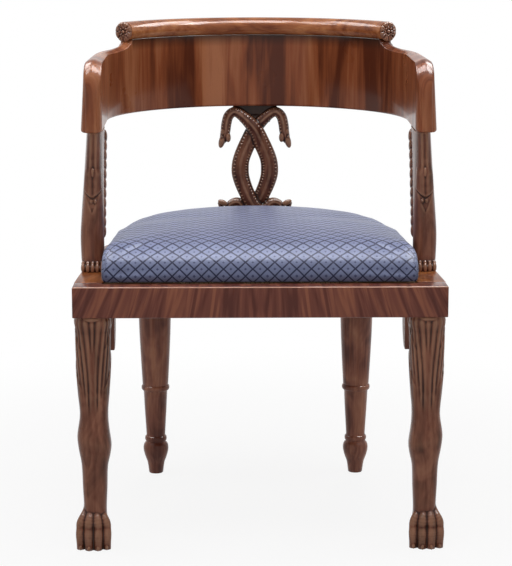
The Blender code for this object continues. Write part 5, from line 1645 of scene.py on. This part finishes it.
def cushion_point(around, up):
    row = round(up * (WALL_ROWS + CROWN_ROWS))
    level, outline = wall_outlines[min(row, WALL_ROWS)]
    share = 1 - max(0, row - WALL_ROWS) / CROWN_ROWS
    edge = at_share(outline, around)
    flat = cushion_middle.lerp(edge, share)
    height = level + CUSHION_CROWN * (1 - share ** CUSHION_FLATNESS) ** CUSHION_SHOULDER
    sunk = sunk_by(edge) * share ** 2 * (level - CUSHION_LOW) / CUSHION_WALL
    return Vector((*flat, height - sunk))


cushion_shape = bent_grid(OUTLINE_POINTS, WALL_ROWS + CROWN_ROWS, cushion_point)
close_ends(cushion_shape)
print("cushion verts before the cloth", len(cushion_shape.verts))

# %% [markdown]
# The silk is woven with a net of dark lines, a pale lozenge in each mesh and a dot in the middle of each
# lozenge. A picture could be laid on the cloth, but a few sums do it at any size: two slanting runs, the
# distance from the nearest line, and a row of colours. The pattern reads its own attribute, so that it
# follows the cloth over the front, and the third number of that attribute says how flat the cloth lies:
# the lines are drawn a little wider where it lies flat, and shade is painted on the hanging walls.

# %% Silk
LOZENGE_WIDTH = 0.0235
LOZENGE_HEIGHT = 0.0240
NAVY = (0.028, 0.033, 0.085)
DOT_SILK = (0.085, 0.098, 0.210)
PALE_SILK = (0.272, 0.312, 0.505)
WALL_PAINTED_SHADE = 0.52               # painted shade on the hanging walls of the cover
TOP_LINES = 0.05                # the lines look wider where the cloth lies flat
LOZENGE_STOPS = (               # distance from the middle of a lozenge to its line, and colour
    (0.00, DOT_SILK), (0.18, DOT_SILK), (0.26, PALE_SILK), (0.84, PALE_SILK), (0.89, NAVY), (1.00, NAVY),
)
THREAD_SCALE = (900, 260, 0)
PATCH_SCALE = (14, 14, 0)
THREAD_SHARE = 0.5
PATCH_SHARE = 0.35
MOTTLE_BASE = 0.60

silk, tree, shader = new_finish("lozenge_silk")
weave = add_node(tree, "ShaderNodeAttribute", attribute_name="weave").outputs["Vector"]
parts = add_node(tree, "ShaderNodeSeparateXYZ", {0: weave}).outputs
warp = reckon(tree, "DIVIDE", parts["X"], LOZENGE_WIDTH)
weft = reckon(tree, "DIVIDE", parts["Y"], LOZENGE_HEIGHT)


def from_line(run):
    """Distance from the middle of a lozenge towards its line, from 0 to 1."""
    share = reckon(tree, "FRACT", run)
    centred = reckon(tree, "SUBTRACT", share, 0.5)
    return reckon(tree, "MULTIPLY", reckon(tree, "ABSOLUTE", centred), 2.0)


rising = from_line(reckon(tree, "ADD", warp, weft))
falling = from_line(reckon(tree, "SUBTRACT", warp, weft))
ring = reckon(tree, "MULTIPLY_ADD", parts["Z"], TOP_LINES, reckon(tree, "MAXIMUM", rising, falling))
lozenge = colours_from(tree, ring, LOZENGE_STOPS)
threads = stretched_noise(tree, weave, THREAD_SCALE, detail=2.0, distortion=0.0)
patches = stretched_noise(tree, weave, PATCH_SCALE, detail=3.0, distortion=0.3)
patched = reckon(tree, "MULTIPLY_ADD", patches, PATCH_SHARE, MOTTLE_BASE)
mottled = reckon(tree, "MULTIPLY_ADD", threads, THREAD_SHARE, patched)
# Painted shade: where the cloth hangs, its colour is made darker.
painted_wall_shade = reckon(tree, "MULTIPLY_ADD", parts["Z"], WALL_PAINTED_SHADE, 1 - WALL_PAINTED_SHADE)
lightness = reckon(tree, "MULTIPLY", mottled, painted_wall_shade)
toned = add_node(tree, "ShaderNodeHueSaturation", {"Value": lightness, "Color": lozenge}).outputs[0]
woven = add_node(tree, "ShaderNodeBump", {"Strength": 0.35, "Distance": 0.0005, "Height": threads})
raised = add_node(tree, "ShaderNodeBump", {
    "Strength": 0.4, "Distance": 0.0006, "Height": ring, "Normal": woven.outputs[0],
}, invert=True)
tree.links.new(toned, shader.inputs["Base Color"])
tree.links.new(raised.outputs[0], shader.inputs["Normal"])
shader.inputs["Roughness"].default_value = 0.42
shader.inputs["Sheen Weight"].default_value = 0.08
shader.inputs["Sheen Roughness"].default_value = 0.4
shader.inputs["Specular IOR Level"].default_value = 0.14
print("lozenges of", LOZENGE_WIDTH, "by", LOZENGE_HEIGHT, "m")

# %% [markdown]
# The shape so far is a little too small and too regular. Blender's cloth can blow it up: a voxel remesh
# gives even cells, pressure pushes them out for some frames, and the lower edge is held as if tacked to
# the frame. No point may move further than a small cap, so that the seat keeps its size, and one
# subdivision makes it smooth.

# %% Cushion as cloth
CLOTH_VOXEL = 0.005
CLOTH_PRESSURE = 2.5
CLOTH_FRAMES = 20
SWELL_CAP = 0.003
PATTERN_TOP = 0.4930            # above this height the pattern lies flat
WALL_WIDEST = 0.4740
WALL_MARGIN = 0.0041
HELD_HEIGHT = 0.006             # height over the rail up to which the cover is held
FLAT_LIE = 0.6                  # upward share of the normal from which the cloth counts as lying
TINY = 1e-9


def swollen(shape):
    """Blow the shape up as a cloth, with no point moving further than the cap."""
    mesh = bpy.data.meshes.new("cushion_cloth")
    shape.to_mesh(mesh)
    shape.free()
    cloth = voxel_object(mesh, CLOTH_VOXEL)
    rest = bpy.data.meshes.new_from_object(cloth.evaluated_get(bpy.context.evaluated_depsgraph_get()))
    cloth.modifiers.clear()
    cloth.data = rest
    still = mesh_points(rest)
    held = cloth.vertex_groups.new(name="held")
    low_points = np.nonzero(still[:, 2] < SEAT_HEIGHT + HELD_HEIGHT)[0]
    held.add([int(index) for index in low_points], 1.0, "REPLACE")
    step = cloth.modifiers.new("cloth", "CLOTH")
    step.settings.use_pressure = True
    step.settings.uniform_pressure_force = CLOTH_PRESSURE
    step.settings.vertex_group_mass = "held"
    step.settings.effector_weights.gravity = 0
    scene = bpy.context.scene
    for number in range(1, CLOTH_FRAMES + 1):
        scene.frame_set(number)
    blown = bpy.data.meshes.new_from_object(cloth.evaluated_get(bpy.context.evaluated_depsgraph_get()))
    scene.frame_set(1)
    moved = mesh_points(blown) - still
    length = np.linalg.norm(moved, axis=1, keepdims=True)
    moved *= np.minimum(1.0, SWELL_CAP / np.maximum(length, TINY))
    blown.vertices.foreach_set("co", (still + moved).ravel())
    cloth.modifiers.clear()
    cloth.data = blown
    print("cloth moved at most", round(float(length.max()), 4), "kept to", SWELL_CAP)
    done = bmesh.new()
    done.from_mesh(cloth.data)
    bpy.data.objects.remove(cloth)
    return done


# %% [markdown]
# Each point of the cover stores its place in the weave: flat over the crown, straight down the walls,
# and along the true run of the cloth in front, where it rolls over the edge. That run is measured along
# the middle line of the cushion before it was blown up.

# %% Place in the weave
FRONT_ROWS = range(WALL_ROWS + CROWN_ROWS, -1, -1)
front_line = np.array([cushion_point(0, row / (WALL_ROWS + CROWN_ROWS))[1:] for row in FRONT_ROWS])
front_steps = np.diff(front_line, axis=0)
front_lengths = np.linalg.norm(front_steps, axis=1)
front_runs = np.concatenate(([0.0], np.cumsum(front_lengths)))


def front_run(place):
    """Run of a place over the crown and down the front, from the middle of the cover."""
    nearest = min(int(np.argmin(((front_line - place) ** 2).sum(axis=1))), len(front_steps) - 1)
    ahead = np.dot(place - front_line[nearest], front_steps[nearest]) / front_lengths[nearest]
    return front_runs[nearest] + ahead


def mark_weave(piece):
    """Store the place in the weave of each point, and how flat the cloth lies there."""
    store = piece.data.attributes.new("weave", "FLOAT_VECTOR", "POINT")
    for vert, value in zip(piece.data.vertices, store.data):
        x, y, z = vert.co
        drop = max(0.0, PATTERN_TOP - z)
        on_wall = z < WALL_WIDEST
        if y > ARC_Y:
            outward = Vector((x, y - ARC_Y)).normalized()
            x += outward.x * drop
            y += outward.y * drop
        elif abs(vert.normal.x) > abs(vert.normal.y):
            reach = opening(y - FRONT_Y) + WALL_MARGIN if on_wall else abs(x)
            x = math.copysign(reach + drop, x)
        if vert.co.y < cushion_middle.y and (
                vert.normal.z > FLAT_LIE or abs(vert.normal.x) < abs(vert.normal.y)):
            y = cushion_middle.y - front_run(np.array((y, z)))
        value.vector = (x, y, ease(vert.normal.z))


cushion_mesh = swollen(cushion_shape)
cushion = add_piece("silk_cushion", cushion_mesh, silk, "drop_in_seat", ["seat_cover", "seat_stuffing"],
                    sharp=180)
mark_weave(cushion)
finer = cushion.modifiers.new("finer", "SUBSURF")
finer.levels = 1
finer.render_levels = 1
print("cushion top", round(max(corner[2] for corner in cushion.bound_box), 4))

# %% [markdown]
# Under the silk the loose seat is plain upholsterer's work: a beech frame, jute webbing that is woven
# over and under, and a base cloth. None of it shows until the seat is lifted out, but then it should
# look right. Both cloths are the same crossing of two wave textures, with thick and thin places from a
# noise and dark gaps between the threads.

# %% Jute and hessian
STRAP_WIDTH = 0.050
STRAP_THICKNESS = 0.0013
STRAP_LEVEL = 0.4336
STRAP_STEP = 0.0018
STRAP_PLACES = (-0.105, 0.0, 0.105)
WEB_MIDDLE_Y = -0.00825
STRAP_ROWS = 160
STRAP_COLUMNS = 6
CROSSING_HALF = 0.029           # how far a strap stays up beside the middle of a crossing
CROSSING_EASE = 0.018
SHEET_SHARP = 60
CLOTH_LEVEL = 0.4372
CLOTH_THICKNESS = 0.0008
CLOTH_MARGIN = -0.008           # cut smaller than the opening
CLOTH_CORNER = 0.004
CLOTH_ROWS = 24
JUTE_COLOURS = ((0.290, 0.215, 0.120), (0.500, 0.390, 0.240))
JUTE_GAPS = (0.090, 0.060, 0.030)
HESSIAN_COLOURS = ((0.330, 0.250, 0.150), (0.520, 0.420, 0.270))
HESSIAN_GAPS = (0.120, 0.085, 0.045)
SLUB_SCALE = (60, 60, 60)
GAP_LIMIT = 0.04                # below this height of the threads a gap shows


def woven_cloth(name, colours, thread, gap_colour):
    material, tree, shader = new_finish(name)
    place = object_place(tree)
    waves = []
    for direction in ("X", "Y"):
        waves.append(add_node(tree, "ShaderNodeTexWave", {
            "Vector": place, "Scale": 0.5 / thread / 10,
            "Distortion": 1.5, "Detail": 2.0, "Detail Scale": 3.0,
        }, bands_direction=direction).outputs["Fac"])
    cross = reckon(tree, "MULTIPLY", waves[0], waves[1])
    slubs = stretched_noise(tree, place, SLUB_SCALE, detail=4.0, distortion=0.4)
    tone = colours_from(tree, slubs, ((0.3, colours[0]), (0.7, colours[1])))
    opened = reckon(tree, "LESS_THAN", cross, GAP_LIMIT)
    colour = mix_colours(tree, opened, tone, (*gap_colour, 1))
    relief = add_node(tree, "ShaderNodeBump", {"Strength": 0.6, "Distance": thread / 2, "Height": cross})
    tree.links.new(colour, shader.inputs["Base Color"])
    tree.links.new(relief.outputs[0], shader.inputs["Normal"])
    shader.inputs["Roughness"].default_value = 0.9
    return material


jute_web = woven_cloth("jute_webbing", JUTE_COLOURS, thread=0.0012, gap_colour=JUTE_GAPS)
hessian = woven_cloth("hessian", HESSIAN_COLOURS, thread=0.0009, gap_colour=HESSIAN_GAPS)


# %% [markdown]
# A strap could be a simulated cloth, but it is stretched tight and its way is known. So each is a flat
# grid that rises where it passes over another strap, and it gets its thickness last.

# %% Webbing straps
def thicken(shape, thickness):
    bmesh.ops.recalc_face_normals(shape, faces=shape.faces)
    bmesh.ops.solidify(shape, geom=shape.faces[:], thickness=-thickness)
    bmesh.ops.recalc_face_normals(shape, faces=shape.faces)


def add_strap(node, along_x, number):
    low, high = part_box(node)
    start, end = (low.x, high.x) if along_x else (low.y, high.y)
    middle = (low.y + high.y) / 2 if along_x else (low.x + high.x) / 2
    crossings = [place + (0.0 if along_x else WEB_MIDDLE_Y) for place in STRAP_PLACES]

    def place(across, along):
        distance = start + (end - start) * along
        level = STRAP_LEVEL
        for other, crossing in enumerate(crossings):
            if (number + other) % 2 == (1 if along_x else 0):
                level += STRAP_STEP * (1 - ease((abs(distance - crossing) - CROSSING_HALF) / CROSSING_EASE))
        side = middle + (across - 0.5) * STRAP_WIDTH
        return Vector((distance, side, level)) if along_x else Vector((side, distance, level))
    shape = bent_grid(STRAP_COLUMNS, STRAP_ROWS, place)
    thicken(shape, STRAP_THICKNESS)
    strap = add_piece("jute_" + node, shape, jute_web, "drop_in_seat", [node], SHEET_SHARP)


for number in range(len(STRAP_PLACES)):
    add_strap(f"webbing_long_{number + 1}", False, number)
    add_strap(f"webbing_cross_{number + 1}", True, number)

# %% [markdown]
# The base cloth keeps the stuffing off the webbing. It is cut a little smaller than the opening, so it
# is the outline of the seat, filled as a flat round grid towards the middle.

# %% Base cloth
cloth_outline = seat_outline(CLOTH_MARGIN, CLOTH_CORNER, set_back=0.0)


def base_cloth_point(around, inward):
    flat = at_share(cloth_outline, around).lerp(cushion_middle, inward)
    return Vector((*flat, CLOTH_LEVEL))


cloth_shape = bent_grid(OUTLINE_POINTS, CLOTH_ROWS, base_cloth_point)
cloth_area = sum(face.calc_area() for face in cloth_shape.faces)
thicken(cloth_shape, CLOTH_THICKNESS)
low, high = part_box("base_cloth")
base_cloth = add_piece("hessian_base", cloth_shape, hessian, "drop_in_seat", ["base_cloth"],
                       SHEET_SHARP)
print("base cloth area", round(cloth_area, 4))

# %% [markdown]
# Beech blocks, bars and dowels, and the steel screws keep the shape of their solids. They only get a
# finish of their own: pale beech with short dark flecks, and dull steel with stains of rust. The same
# function as for the mahogany makes the beech, with other colours and without polish.

# %% Beech and steel
BEECH_COLOURS = ((0.330, 0.210, 0.110), (0.480, 0.330, 0.190), (0.580, 0.430, 0.270))
RUST = (0.17, 0.10, 0.06)
STEEL_GREY = (0.38, 0.37, 0.36)
STAIN_SCALE = (420, 420, 420)

beech = mahogany("beech_wood", grain_x, BEECH_COLOURS,
                 figure_scale=(8, 40, 40), figure_share=0.35, roughness=0.55, polish=0.0)

steel, tree, shader = new_finish("screw_steel")
place = object_place(tree)
stains = stretched_noise(tree, place, STAIN_SCALE, detail=4.0, distortion=0.5)
stained = colours_from(tree, stains, ((0.35, RUST), (0.55, STEEL_GREY)))
tree.links.new(stained, shader.inputs["Base Color"])
tree.links.new(reckon(tree, "MULTIPLY_ADD", stains, -0.4, 0.65), shader.inputs["Roughness"])
shader.inputs["Metallic"].default_value = 0.9

plain_nodes = 0
for name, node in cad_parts.items():
    if node.hide_render:
        continue
    finish = steel if "screw" in name else beech
    for slot in node.material_slots:
        slot.material = finish
    plain_nodes += 1
print("solids that keep their shape:", plain_nodes)
